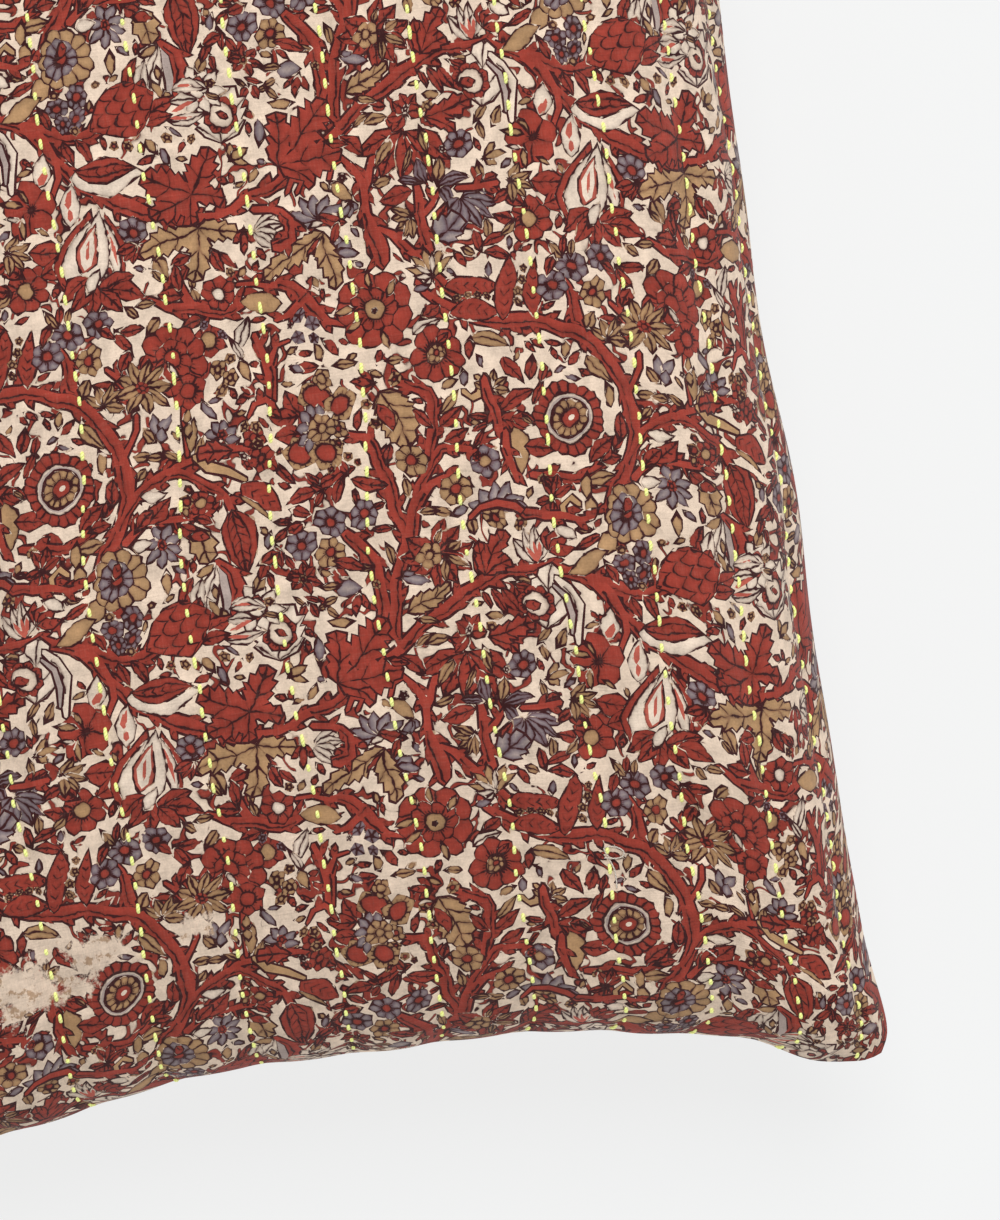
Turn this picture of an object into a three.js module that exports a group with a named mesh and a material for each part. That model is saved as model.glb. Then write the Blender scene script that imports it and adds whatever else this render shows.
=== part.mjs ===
import * as THREE from 'three';

// A filled, printed cotton lumbar pillow with hand-sewn running stitch, lying on its back.
// Millimetres, +Z up. X runs along the pillow, Y across it, and it rests on z = 0.
// The origin is on the floor, under the middle of the pillow.

// Driving dimensions
const LENGTH = 598; // corner tip to corner tip along the filled pillow
const WIDTH = 280; // corner tip to corner tip across it
const SEAM_HEIGHT = 50; // the edge seam above the floor
const CROWN = 54; // rise of the face above the seam, and drop of the back before the floor flattens it
const FACE_POWER = { along: 6, across: 4 }; // how flat the crown stays before it turns down to the seam
const CROWN_ROUNDNESS = 0.52; // how full the turn into the seam is

// Cloth taken up by the crown: the share by which cloth near the middle is wider in plan than
// evenly spread cloth, and how late that share is given back towards the seam.
const TAKE_UP = {
  along: { share: 0.09, power: 8 },
  across: { share: 0.24, power: 4 },
};

// How far the seam is drawn in from the straight line between two corner tips
const END_SEAM = { ear: 7.5, earFrom: 17, earTo: 38, bow: 13.5, bowPower: 1 };
const SIDE_SEAM = { ear: 3.2, earFrom: 6, earTo: 36, bow: 6.4, bowPower: 1.6 };
const TIP_RADIUS = 9; // rounding of a turned corner
const EAR_DROP = { depth: 5, alongPower: 10, acrossPower: 5 }; // how a corner tip hangs under the seam

// Rows of running stitch, which run along the pillow and pull the face into shallow channels
const ROWS = 13;
const CHANNEL = { depth: 1.3, sharpness: 1.6 }; // its full depth is reached this soon above the seam
const SCALLOP = { depth: 0.8, power: 12, fadeFrom: 20, fadeTo: 50 }; // the end seam steps in at a row

// The side seam's slack, in and out: two waves, faded out towards the corner tips
const SIDE_WAVE = {
  depth: 0.8,
  lengths: [118, 67],
  phase: 0.6,
  second: 0.6,
  fadeFrom: 20,
  fadeTo: 70,
  power: 6,
};

// Facets
const STEPS_PER_ROW = 4;
const STEPS_ACROSS = ROWS * STEPS_PER_ROW;
const STEPS_ALONG = 34;

const halfLength = LENGTH / 2;
const halfWidth = WIDTH / 2;

// 0 below from, 1 above to, and a soft step between
function softStep(value, from, to) {
  const t = Math.min(Math.max((value - from) / (to - from), 0), 1);
  return t * t * (3 - 2 * t);
}

// Inward draw of a seam at a distance along the line between its corner tips, measured from the middle
function drawIn(seam, fromMiddle, half) {
  const fromTip = half - Math.abs(fromMiddle);
  const ear = seam.ear * softStep(fromTip, seam.earFrom, seam.earTo);
  const bow = seam.bow * Math.sin((Math.PI / 2) * (fromTip / half)) ** seam.bowPower;
  return ear + bow;
}

// Place in plan, -1 to 1, of cloth that lies at a share of the way from the middle to the seam
function clothToPlan(cloth, takeUp) {
  return cloth * (1 + takeUp.share * (1 - Math.abs(cloth) ** takeUp.power));
}

// 1 on a row of stitching, 0 midway between two rows
function onRow(across) {
  const phase = ((across + 1) / 2) * ROWS;
  return 0.5 - 0.5 * Math.cos(2 * Math.PI * phase);
}

// Slow in-and-out of the side seam, nothing at the corner tips
function sideSlack(x) {
  const [long, short] = SIDE_WAVE.lengths;
  const first = Math.sin((2 * Math.PI * x) / long + SIDE_WAVE.phase);
  const second = SIDE_WAVE.second * Math.sin((2 * Math.PI * x) / short);
  const fade = softStep(halfLength - Math.abs(x), SIDE_WAVE.fadeFrom, SIDE_WAVE.fadeTo);
  return SIDE_WAVE.depth * (first + second) * fade;
}

// Turns the square tip of a corner into a round one without moving its outermost lines
function roundTip(x, y) {
  const dx = (Math.abs(x) - (halfLength - TIP_RADIUS)) / TIP_RADIUS;
  const dy = (Math.abs(y) - (halfWidth - TIP_RADIUS)) / TIP_RADIUS;
  if (dx <= 0 || dy <= 0) return [x, y];
  const rx = halfLength - TIP_RADIUS + TIP_RADIUS * dx * Math.sqrt(1 - (dy * dy) / 2);
  const ry = halfWidth - TIP_RADIUS + TIP_RADIUS * dy * Math.sqrt(1 - (dx * dx) / 2);
  return [Math.sign(x) * rx, Math.sign(y) * ry];
}

// Share of the full crown at a place in plan
function crownShare(planX, planY) {
  const along = Math.max(1 - Math.abs(planX) ** FACE_POWER.along, 0);
  const across = Math.max(1 - Math.abs(planY) ** FACE_POWER.across, 0);
  return (along * across) ** CROWN_ROUNDNESS;
}

// Point of the pillow's skin. along and across run from -1 to 1 over the cut cloth; side is 1 on
// the face and -1 on the back.
function skinPoint(along, across, side) {
  const planX = clothToPlan(along, TAKE_UP.along);
  const planY = clothToPlan(across, TAKE_UP.across);
  const reachX = halfLength - drawIn(END_SEAM, planY * halfWidth, halfWidth);
  const reachY = halfWidth - drawIn(SIDE_SEAM, planX * halfLength, halfLength);
  const inner = softStep(halfWidth - Math.abs(planY * halfWidth), SCALLOP.fadeFrom, SCALLOP.fadeTo);
  const scallop = SCALLOP.depth * onRow(across) * Math.abs(planX) ** SCALLOP.power * inner;
  const x = planX * (reachX - scallop);
  const y = planY * (reachY - sideSlack(x) * Math.abs(planY) ** SIDE_WAVE.power);
  const [tipX, tipY] = roundTip(x, y);

  const share = crownShare(planX, planY);
  const atTip = Math.abs(planX) ** EAR_DROP.alongPower * Math.abs(planY) ** EAR_DROP.acrossPower;
  const seam = SEAM_HEIGHT - EAR_DROP.depth * atTip;
  const channel = CHANNEL.depth * onRow(across) * Math.min(1, CHANNEL.sharpness * share);
  const height = seam + side * Math.max(CROWN * share - channel, 0);
  return [tipX, tipY, Math.max(height, 0)];
}

// One closed skin: the face and the back are grids of the same cut cloth and share the seam's points.
function pillowGeometry() {
  const positions = [];
  const indexOf = new Map();
  const isSeam = (i, j) => i === 0 || j === 0 || i === STEPS_ALONG || j === STEPS_ACROSS;

  function vertex(i, j, side) {
    const key = isSeam(i, j) ? `seam ${i} ${j}` : `${side} ${i} ${j}`;
    if (!indexOf.has(key)) {
      indexOf.set(key, positions.length / 3);
      const along = (2 * i) / STEPS_ALONG - 1;
      const across = (2 * j) / STEPS_ACROSS - 1;
      positions.push(...skinPoint(along, across, side));
    }
    return indexOf.get(key);
  }

  const triangles = [];
  for (const side of [1, -1]) {
    for (let i = 0; i < STEPS_ALONG; i += 1) {
      for (let j = 0; j < STEPS_ACROSS; j += 1) {
        const a = vertex(i, j, side);
        const b = vertex(i + 1, j, side);
        const c = vertex(i + 1, j + 1, side);
        const d = vertex(i, j + 1, side);
        // the diagonal points at the nearer corner tip, so that no corner cell folds flat
        const towardsTip = i < STEPS_ALONG / 2 === j < STEPS_ACROSS / 2;
        const cell = towardsTip ? [a, b, c, a, c, d] : [a, b, d, b, c, d];
        triangles.push(...(side === 1 ? cell : cell.reverse()));
      }
    }
  }
  const geometry = new THREE.BufferGeometry();
  geometry.setAttribute('position', new THREE.Float32BufferAttribute(positions, 3));
  geometry.setIndex(triangles);
  geometry.computeVertexNormals();
  return geometry;
}

// Thin cotton voile, block printed in madder red, plum, tan and grey on a cream ground
const printedCotton = new THREE.MeshStandardMaterial({ color: 0x9a4a3a, roughness: 0.9, metalness: 0 });

const pillow = new THREE.Mesh(pillowGeometry(), printedCotton);
pillow.name = 'pillow';

const group = new THREE.Group();
group.add(pillow);

export default group;
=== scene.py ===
"""A block-printed cotton lumbar pillow with rows of running stitch, lying on its back.

X runs along the pillow, Y across it and Z up, in metres. The cloth itself is laid out in
millimetres: u runs along the cut panel and v across it, both from its middle. The print is
charted in its own repeat, with s to the right and t downwards as the photograph has them.
"""
import logging
import math
from dataclasses import dataclass, field
from enum import IntEnum
from functools import partial
from typing import Any, Sequence

import bpy
import numpy as np
from bpy.types import ColorRamp, Material, Mesh, NodeTree, Object, NodeSocket as Socket
from mathutils import Matrix, Vector
from mathutils.bvhtree import BVHTree
from mathutils.geometry import delaunay_2d_cdt


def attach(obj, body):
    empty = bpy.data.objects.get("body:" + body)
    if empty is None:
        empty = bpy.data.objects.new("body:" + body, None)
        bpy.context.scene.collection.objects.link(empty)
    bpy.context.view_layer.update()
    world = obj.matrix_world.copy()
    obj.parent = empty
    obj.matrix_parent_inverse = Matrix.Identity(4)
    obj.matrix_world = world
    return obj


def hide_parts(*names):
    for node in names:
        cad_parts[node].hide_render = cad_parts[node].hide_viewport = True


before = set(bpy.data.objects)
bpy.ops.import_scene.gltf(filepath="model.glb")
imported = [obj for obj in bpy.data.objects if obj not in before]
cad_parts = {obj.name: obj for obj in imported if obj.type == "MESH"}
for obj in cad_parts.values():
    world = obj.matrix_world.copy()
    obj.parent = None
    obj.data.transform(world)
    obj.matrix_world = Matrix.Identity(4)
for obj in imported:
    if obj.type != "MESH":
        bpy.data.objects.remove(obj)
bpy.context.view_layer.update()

MM = 0.001
LINE = 0.54  # width of a printed outline, mm
Array = np.ndarray
log = logging.getLogger("pillow")


def linear(hex_colour: str) -> tuple[float, float, float, float]:
    """Turns an sRGB hex colour into linear RGBA.

    Args:
        hex_colour: six hex digits after a hash sign.

    Returns:
        The linear red, green and blue, and an alpha of 1.
    """
    parts = [int(hex_colour[i : i + 2], 16) / 255 for i in (1, 3, 5)]
    line = [p / 12.92 if p <= 0.04045 else ((p + 0.055) / 1.055) ** 2.4 for p in parts]
    return (*line, 1.0)


def per_mm(size: float) -> float:
    """Gives the scale, to two decimals, of a pattern whose marks have a size in mm."""
    return round(1 / size, 2)


def add(
    tree: NodeTree, kind: str, *inputs: Any, out: int | str = 0, **settings: Any
) -> Socket | None:
    """Adds a node with its settings and links.

    Args:
        tree: the tree that gets the node.
        kind: the node's type, without its common prefix, or a Math node's operation.
        inputs: what goes into the sockets, in their order. A socket is linked, a value is set,
            and None leaves the socket alone. A dict names its sockets.
        out: which output is wanted.
        settings: the node's properties.

    Returns:
        The wanted output, or None where the node has no output.
    """
    node = tree.nodes.new("ShaderNodeMath" if kind.isupper() else "ShaderNode" + kind)
    if kind.isupper():
        node.operation = kind
    for name, value in settings.items():
        setattr(node, name, value)
    pairs = [(i, value) for i, value in enumerate(inputs) if not isinstance(value, dict)]
    for named in (value for value in inputs if isinstance(value, dict)):
        pairs += named.items()
    for where, value in pairs:
        if isinstance(value, Socket):
            tree.links.new(value, node.inputs[where])
        elif value is not None:
            node.inputs[where].default_value = value
    return node.outputs[out] if node.outputs else None


def soft_step(value: Array, start: float, stop: float) -> Array:
    """Gives 0 below start, 1 above stop, and a soft step between."""
    t = np.clip((value - start) / (stop - start), 0, 1)
    return t * t * (3 - 2 * t)


class Ink(IntEnum):
    """The colours of the print, in the order of their ramp."""

    GROUND = 0
    MADDER = 1
    PLUM = 2
    TAN = 3
    SLATE = 4
    WHITE = 5
    ROSE = 6


class Mark(IntEnum):
    """How a patch of print is drawn inside its rim."""

    PLAIN = 0
    LEAF = 1
    BLOOM = 2
    STEM = 3
    VEINS = 4
    SCALES = 5


class Side(IntEnum):
    """The two faces of the pillow."""

    FRONT = 1
    BACK = -1


@dataclass(frozen=True)
class Patch:
    """One patch of print: its rim on the cloth in mm, and what is drawn inside it."""

    rim: Array
    mark: Mark
    ink: Ink
    second: Ink = Ink.PLUM
    form: tuple[float, float, float] = (1.0, 1.0, 1.0)
    place: tuple[float, float, float] = (0.0, 0.0, 0.0)
    spine: Array | None = None

    def local(self, points: Array) -> tuple[Array, Array]:
        """Gives the patch's own coordinates and form numbers at places on the cloth.

        Args:
            points: places, one row each.

        Returns:
            The own x and y of each place, and the three form numbers there.
        """
        if self.spine is None:
            s, t, turn = self.place
            c, n = math.cos(turn), math.sin(turn)
            off = points - (s, t)
            own = np.stack([off @ (c, n), off @ (-n, c)], axis=1)
            return own, np.broadcast_to(self.form, (len(points), 3))
        start, step = self.spine[:-1, :2], np.diff(self.spine[:, :2], axis=0)
        length = np.linalg.norm(step, axis=1)
        off = points[:, None] - start
        share = np.clip((off * step).sum(2) / length**2, 0, 1)
        gap = off - share[..., None] * step
        best = np.linalg.norm(gap, axis=2).argmin(axis=1)
        rows = np.arange(len(points))
        share, gap, along = share[rows, best], gap[rows, best], step[best]
        side = np.sign(along[:, 0] * gap[:, 1] - along[:, 1] * gap[:, 0])
        run = np.concatenate([[0], np.cumsum(length)])[best] + share * length[best]
        half = self.spine[best, 2] * (1 - share) + self.spine[best + 1, 2] * share
        own = np.stack([run, side * np.linalg.norm(gap, axis=1)], axis=1)
        return own, np.stack([half] * 3, axis=1)


@dataclass
class Block:
    """The printing blocks of one repeat: patches in the order in which they lie."""

    patches: list[Patch] = field(default_factory=list)
    raised: list[Patch] = field(default_factory=list)
    stalk: float = 1.4  # from a small leaf's middle to its stalk's end, in half lengths

    def put(
        self, x: Array, y: Array, place: tuple[float, float, float], mark: Mark, ink: Ink,
        second: Ink = Ink.PLUM, form: tuple[float, float, float] = (1, 1, 1), late: bool = False,
    ) -> None:
        """Lays a patch on top of what is there.

        Args:
            x: the rim along the patch.
            y: the rim across it.
            place: right, down, and the turn in degrees from the right towards down.
            mark: how it is drawn.
            ink: its fill.
            second: its other ink.
            form: its form numbers.
            late: whether it waits for settle().
        """
        s, t, turn = place[0], place[1], math.radians(place[2])
        c, n = math.cos(turn), math.sin(turn)
        rim = np.stack([s + x * c - y * n, t + x * n + y * c], axis=1)
        made = Patch(rim, mark, ink, second, form, (s, t, turn))
        (self.raised if late else self.patches).append(made)

    def leaf(
        self, s: float, t: float, turn: float, length: float, width: float, ink: Ink, bands: float = 2,
        second: Ink = Ink.PLUM, mark: Mark = Mark.LEAF,
    ) -> None:
        """Prints a pointed leaf or petal about its middle.

        Args:
            s: place to the right.
            t: place downwards.
            turn: degrees from the right towards down, where the tip points.
            length: from end to end.
            width: at its widest.
            ink: fill.
            bands: how many bands its lines part it into. A negative number leaves the rim bare.
            second: the other ink.
            mark: a leaf's lines or another mark's.
        """
        steps = 3 if length < 6.5 else 4 if length < 11 else 6
        if mark is Mark.LEAF and 0.25 * length < width < 5:
            length, width = length * 1.1, width * 1.25  # small leaves print fuller than charted
        a, b = length / 2, width / 2
        u = -np.cos(np.pi * np.arange(steps + 1) / steps)
        h = b * (1 - u**2) * (1 - 0.25 * u)
        h = h * (1.12 if steps == 3 else 1.05)
        if mark is Mark.LEAF and steps == 3 and bands > 0:
            u[0] = -self.stalk
        x, y = np.concatenate([u, u[-2:0:-1]]) * a, np.concatenate([h, -h[-2:0:-1]])
        self.put(x, y, (s, t, turn), mark, ink, second, (a, b, bands))

    def petals(
        self, s: float, t: float, turns: Sequence[float], length: float, width: float, ink: Ink,
        root: float = 0.0, bands: float = 2,
    ) -> None:
        """Prints leaves or petals that spread from one point.

        Args:
            s: the point's place to the right.
            t: its place downwards.
            turns: degrees, one petal each.
            length: of a petal.
            width: of a petal.
            ink: fill.
            root: how far from the point the petals start.
            bands: as a leaf's.
        """
        for turn in turns:
            reach, a = root + length / 2, math.radians(turn)
            self.leaf(s + reach * math.cos(a), t + reach * math.sin(a), turn, length, width, ink, bands)

    def bloom(
        self, s: float, t: float, radius: float, petals: int, ink: Ink, core: float = 0.3,
        second: Ink = Ink.TAN, turn: float = 0.0,
    ) -> None:
        """Prints a round flower seen from the front.

        Args:
            s: place to the right.
            t: place downwards.
            radius: to the petals' tips.
            petals: number of petals.
            ink: the petals' fill.
            core: the eye's share of the radius.
            second: the eye's fill.
            turn: degrees.
        """
        if radius < 5:
            radius = radius * 1.1
        each = 1 if radius < 2.6 else 2 if radius < 6 or petals > 12 else 3
        share = np.arange(petals * each) / (petals * each)
        off = np.abs(2 * ((share * petals) % 1) - 1)
        reach = radius * (1 - 1.1 / petals * off**2)
        x, y = reach * np.cos(2 * np.pi * share), reach * np.sin(2 * np.pi * share)
        self.put(x, y, (s, t, turn), Mark.BLOOM, ink, second, (radius, core * radius, petals))

    def disc(self, s: float, t: float, radius: float, ink: Ink, rim: float = LINE) -> None:
        """Prints a round spot with a dark rim.

        Args:
            s: place to the right.
            t: place downwards.
            radius: over the rim.
            ink: fill.
            rim: width of the rim, or 0.
        """
        sides = 22 if radius > 4 else 14 if radius > 2 else 9
        turns = 2 * np.pi * np.arange(sides) / sides
        if rim:
            self.put(radius * np.cos(turns), radius * np.sin(turns), (s, t, 0), Mark.PLAIN, Ink.PLUM)
        inner = radius - rim
        self.put(inner * np.cos(turns), inner * np.sin(turns), (s, t, 0), Mark.PLAIN, ink)

    def stem(
        self, knots: Sequence[float], ink: Ink = Ink.MADDER, wide: float = 1.1, fins: float = 6.0
    ) -> None:
        """Prints a vine: its outline now, then its side leaves, and its fill with settle().

        Args:
            knots: right, down and half width of each knot, one after another.
            ink: fill.
            wide: scales the half widths.
            fins: distance between its side leaves, mm.
        """
        k = np.array(knots, float).reshape(-1, 3) * (1, 1, wide)
        k = np.vstack([2 * k[0] - k[1], k, 2 * k[-1] - k[-2]])
        line = []
        for a, b, c, d in zip(k[:-3], k[1:-2], k[2:-1], k[3:], strict=True):
            count = max(1, round(float(np.linalg.norm(c[:2] - b[:2])) / 3.4))
            for f in np.arange(count) / count:
                bend = (2 * a - 5 * b + 4 * c - d) * f**2 + (3 * b - a - 3 * c + d) * f**3
                line.append(b + 0.5 * ((c - a) * f + bend))
        line = np.array([*line, k[-2]])
        way = np.gradient(line[:, :2], axis=0)
        way /= np.linalg.norm(way, axis=1, keepdims=True)
        side = np.stack([-way[:, 1], way[:, 0]], axis=1)
        for grown in (LINE * 0.6, -LINE * 0.5):
            half = np.maximum(line[:, 2:] + grown, 0.3)
            tail, tip = line[0, :2] - way[0] * half[0], line[-1, :2] + way[-1] * half[-1]
            rim = np.vstack([tail, line[:, :2] + side * half, tip, (line[:, :2] - side * half)[::-1]])
            if grown > 0:
                self.patches.append(Patch(rim, Mark.PLAIN, Ink.PLUM))
            else:
                held = self.raised if ink is Ink.MADDER else self.patches
                held.append(Patch(rim, Mark.STEM, ink, spine=line))
        if ink is not Ink.MADDER or line[:, 2].max() < 1:
            return
        run = np.concatenate([[0], np.cumsum(np.linalg.norm(np.diff(line[:, :2], axis=0), axis=1))])
        for number, at in enumerate(np.arange(fins * 0.7, run[-1] - 1, fins / 2)):
            s, t, half, c, n = (np.interp(at, run, row) for row in (*line.T, *way.T))
            lean = (1 if number % 2 else -1) * (48 - 12 * (number % 3))
            reach = half + 2.0 + 0.5 * (number % 4 % 3)
            turn = math.degrees(math.atan2(n, c)) + lean
            a = math.radians(turn)
            out = reach / 2 + 0.5
            self.leaf(s + out * math.cos(a), t + out * math.sin(a), turn, reach + 1.6, 2.2, Ink.MADDER, 1)

    def jagged(
        self, s: float, t: float, turn: float, length: float, width: float, ink: Ink, teeth: int = 5,
        depth: float = 0.34,
    ) -> None:
        """Prints a saw-edged leaf from its base outwards. Its fill waits for settle().

        Args:
            s: the base's place to the right.
            t: the base's place downwards.
            turn: degrees, where the tip points.
            length: from base to tip.
            width: at its widest, over the teeth.
            ink: fill.
            teeth: teeth on a side.
            depth: how deep the teeth are cut.
        """
        share = np.linspace(0, 1, 2 * teeth + 1)
        notch = np.arange(len(share)) % 2 == 0
        h = width / 2 * (1 - np.abs(share * 2 - 1) ** 2.2) ** 0.6
        h = np.where(notch, h * (1 - depth), h)
        x = length * (share + np.where(notch, 0, 0.3 / teeth))
        h[0], h[-1], x[-1] = 0, 0, length * 1.04
        x, y = np.concatenate([x, x[-2:0:-1]]), np.concatenate([h, -h[-2:0:-1]])
        grown = (x - length / 2) * (1 + 2 * LINE / length) + length / 2
        self.put(grown, y + np.sign(y) * LINE, (s, t, turn), Mark.PLAIN, Ink.PLUM)
        self.put(x, y, (s, t, turn), Mark.VEINS, ink, form=(2 * length / teeth, 1, 1), late=True)

    def settle(self) -> None:
        """Lays the fills of the jagged leaves over all their outlines, so that lobes join."""
        self.patches += self.raised
        self.raised = []

    def lobed(self, s: float, t: float, lobes: Sequence[tuple[float, float, float]], ink: Ink) -> None:
        """Prints a saw-edged leaf of several lobes.

        Args:
            s: place of the stalk's end to the right.
            t: its place downwards.
            lobes: turn, length and width of each lobe.
            ink: fill.
        """
        for turn, length, width in lobes:
            self.jagged(s, t, turn, length, width, ink, teeth=max(3, round(length / 2.4)))
        self.settle()

    def leaves(self, ink: Ink, bands: float, *rows: tuple[float, float, float, float, float]) -> None:
        """Prints several leaves alike: right, down, turn, length and width of each."""
        for row in rows:
            self.leaf(*row, ink, bands)

    def blooms(
        self, petals: int, ink: Ink, core: float, second: Ink, *rows: tuple[float, float, float]
    ) -> None:
        """Prints several small flowers alike: right, down and radius of each."""
        for number, (s, t, radius) in enumerate(rows):
            self.bloom(s, t, radius, petals, ink, core, second, turn=23 * number)


BARE, RED, PLUM, TAN, GREY, WHITE, ROSE = Ink


@dataclass
class FloralRepeat:
    """One repeat of a trailing flower print of the traditional Indian kind, charted."""

    size: float = 128.0
    seed: int = 7
    sprig: tuple[float, float] = (6.6, 5.2)  # length and width of a sprig in a gap
    small: tuple[tuple[float, float], ...] = ((5.4, 2.5), (4.4, 2.1), (3.4, 1.7), (2.8, 1.6))
    block: Block = field(default_factory=Block)

    def build(self) -> list[Patch]:
        """Draws the vines, then the flowers and leaves on them, and fills the gaps.

        Returns:
            All the patches of one repeat.
        """
        self.vines()
        self.upper_left()
        self.upper_right()
        self.lower_left()
        self.lower_right()
        self.fill_gaps()
        return self.block.patches

    def vines(self) -> None:
        """Prints the stems, which carry everything else."""
        stem = self.block.stem
        stem([27.5, 64, 1.6, 28, 56, 1.5, 30.5, 48, 1.5, 33, 42, 1.9, 32, 36, 1.4, 30, 29, 1.5,
            28.5, 21, 1.3, 25.5, 15.5, 1.1, 20.5, 13, 0.7])
        stem([33, 42, 1.7, 35.5, 35, 1.4, 38, 28.5, 1.3, 41.5, 22.5, 1.3, 46, 20, 1.1, 51, 20.5, 0.8,
            54, 22.5, 0.5])
        stem([36.5, 33, 1.3, 41, 28, 1, 46.5, 27, 0.7])
        stem([39.5, 24, 1.3, 42, 17, 1.3, 43.5, 11, 1.3, 42, 6, 1.5, 38, 4, 1.3, 34, 2.5, 0.7])
        stem([17, 36, 0.8, 20.5, 40, 1.6, 23.5, 45, 1.6, 25.5, 52, 1.4, 24.5, 60, 1.3, 25, 66, 1])
        stem([25, 70, 0.9, 31, 65, 1.3, 37, 61, 1.4, 43, 57.8, 1.6, 49, 54, 1.5, 56, 51.8, 1.4,
            64, 51.2, 1.3, 72, 53, 1.4, 79, 56, 1.6, 85, 59, 1.6, 91, 60.2, 1.4, 97, 59, 1.2,
            101, 56, 1])
        stem([77, 55, 1, 81.5, 60, 1.2, 85.5, 66.5, 1.2, 90.5, 72, 1.4, 97, 76, 1.6, 103, 79.5, 1.8,
            109, 82.5, 1.3, 116, 84.8, 1.1, 124, 84, 1, 131, 81.5, 1.1, 139, 78.5, 1.3, 146, 74, 1])
        stem([80, 57, 0.9, 84, 62, 0.9, 84.5, 69, 0.9, 82, 75, 0.8])
        stem([43, 107, 0.8, 48, 112, 1.2, 54, 116, 1.6, 62, 118.5, 1.8, 71, 119.5, 1.6, 79, 122, 1.8,
            86, 127, 1.8, 90.5, 133.5, 1.9, 93.5, 141, 2, 93.5, 149, 1.9, 91, 156.5, 1.8, 87, 162, 1.6,
            83.5, 167, 1.2])
        stem([91, 28, 1.2, 96, 21.5, 1.4, 101.5, 17.5, 1.4, 107, 17.3, 1.3, 113, 20.5, 1.3,
            118, 25, 1.1, 119.5, 29, 0.8])
        stem([104, 17, 0.9, 109, 14.8, 1, 114.5, 13.6, 0.9, 120, 13, 1.2, 125, 13.5, 0.7])
        stem([91.5, 32, 0.9, 97, 28.5, 0.9, 103, 28, 1, 109, 28.5, 0.8, 114, 29, 0.6])
        stem([25, 79.5, 0.7, 25.2, 76.5, 0.8, 28, 75.2, 1, 31, 77.5, 1.1, 32.5, 83, 1.1, 32.7, 89, 1.1,
            33.5, 94, 1.8, 35, 99, 2.4, 35.3, 101.5, 1.6])
        stem([32.5, 84, 1, 34.5, 78, 0.9, 38, 73.5, 0.9])
        stem([46.5, 83, 0.8, 46, 89, 1.2, 46.5, 95, 1.5, 47.5, 100, 1])
        stem([47, 91, 1, 50.5, 86.5, 0.7, 53, 84, 0.5])
        stem([35, 93, 0.8, 41, 97, 1.2, 46, 103, 1, 50, 108.5, 1.3, 55, 113, 0.8])
        stem([-2, 102, 0.6, 6, 102.5, 0.8, 12, 104.5, 1.6, 15, 109, 1.9, 20, 113.5, 1, 25, 115, 0.8])
        stem([15, 107, 1.3, 10, 110.5, 0.9, 6.5, 112, 0.4])
        stem([104, 102, 0.7, 109, 104, 1, 114.5, 106, 1.5, 122, 107.8, 1.5, 129, 106.5, 0.8])
        stem([114.5, 105.5, 1.1, 112.5, 100, 1.1, 111.5, 96, 0.7])
        stem([3.5, 131, 1.5, 4, 124, 1.4, 3, 118.5, 1, 1, 114.5, 0.7])
        stem([4, 122, 1, 7, 118, 0.7, 10, 117, 0.5])
        stem([66, 28, 0.9, 71, 30, 1.3, 78, 30.5, 1.3, 84, 28, 1.2, 88, 23.5, 0.8])
        stem([98, 2, 0.7, 96, 8, 0.8, 93, 13, 0.8])
        stem([110, 0, 0.8, 110, 8, 0.8, 109, 13, 0.6])
        stem([80, 110, 0.8, 82, 115, 1.3, 83, 121, 1.6])
        stem([96, 127, 1.2, 95, 121, 0.9, 92, 117, 0.5])
        self.block.settle()

    def upper_left(self) -> None:
        """Prints the upper left quarter: the dahlia, the fern leaf and two lilies."""
        b = self.block
        b.leaves(RED, 2, (12, 26.5, 150, 8, 3.2), (17, 23.7, 165, 11, 3.6), (8, 27.6, 160, 8, 3.2),
            (12.7, 28.3, 120, 4.4, 2.2), (17.7, 27.6, 115, 6, 2.8), (19, 21.6, -120, 5, 2.4),
            (11.3, 23.2, -140, 4.5, 2), (25.3, 26.4, 15, 8, 3.6), (5.3, 22, 60, 6, 2.6),
            (2, 18.5, 50, 6, 3), (21.7, 29.3, -80, 4, 1.8), (27.3, 32, -20, 3.6, 1.8),
            (27.3, 37.8, 170, 4.8, 2.2))
        b.leaves(RED, 2, (8.8, 4.8, -110, 7.4, 4.2), (6, 7.4, 192, 6.6, 4.4), (6.4, 12, 172, 6.8, 4.6))
        b.bloom(14.8, 3.8, 4.4, 5, TAN, 0.62, RED, turn=54)
        b.bloom(20.3, 6.3, 4.3, 5, TAN, 0.5, RED, turn=20)
        b.bloom(9.3, 16.6, 4.3, 5, TAN, 0.6, RED)
        b.bloom(15.7, 17.9, 4.2, 5, TAN, 0.5, RED, turn=15)
        b.blooms(5, TAN, 0.3, RED, (19.6, 12, 2.4), (20.7, 19.2, 1.9), (16, 21.7, 1.5),
            (18.9, 15.6, 1.7), (23.3, 20.8, 1.4), (4, 16.3, 1.3))
        for turn, s, t in ((-70, 12.7, 7.4), (-95, 15, 7.2), (-130, 10.9, 8.6), (180, 10.3, 11),
            (140, 10.6, 13.4), (110, 12.2, 15.2), (-30, 17.3, 8.7)):
            b.leaf(s, t, turn, 3.4, 2.5, WHITE if turn == -30 else GREY, 1)
        b.bloom(15.3, 11.6, 3.7, 8, TAN, 0.28, TAN)
        b.jagged(31.2, 4.2, 68, 14.5, 10, TAN, teeth=8, depth=0.2)
        b.settle()
        b.leaf(31.3, 10.6, 66, 7, 3.4, RED, 1)
        b.blooms(5, TAN, 0.25, RED, (27.1, 7.2, 2), (28.5, 12.6, 1.8), (34.8, 2.3, 2.2),
            (24.8, 51.2, 1.5))
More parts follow.
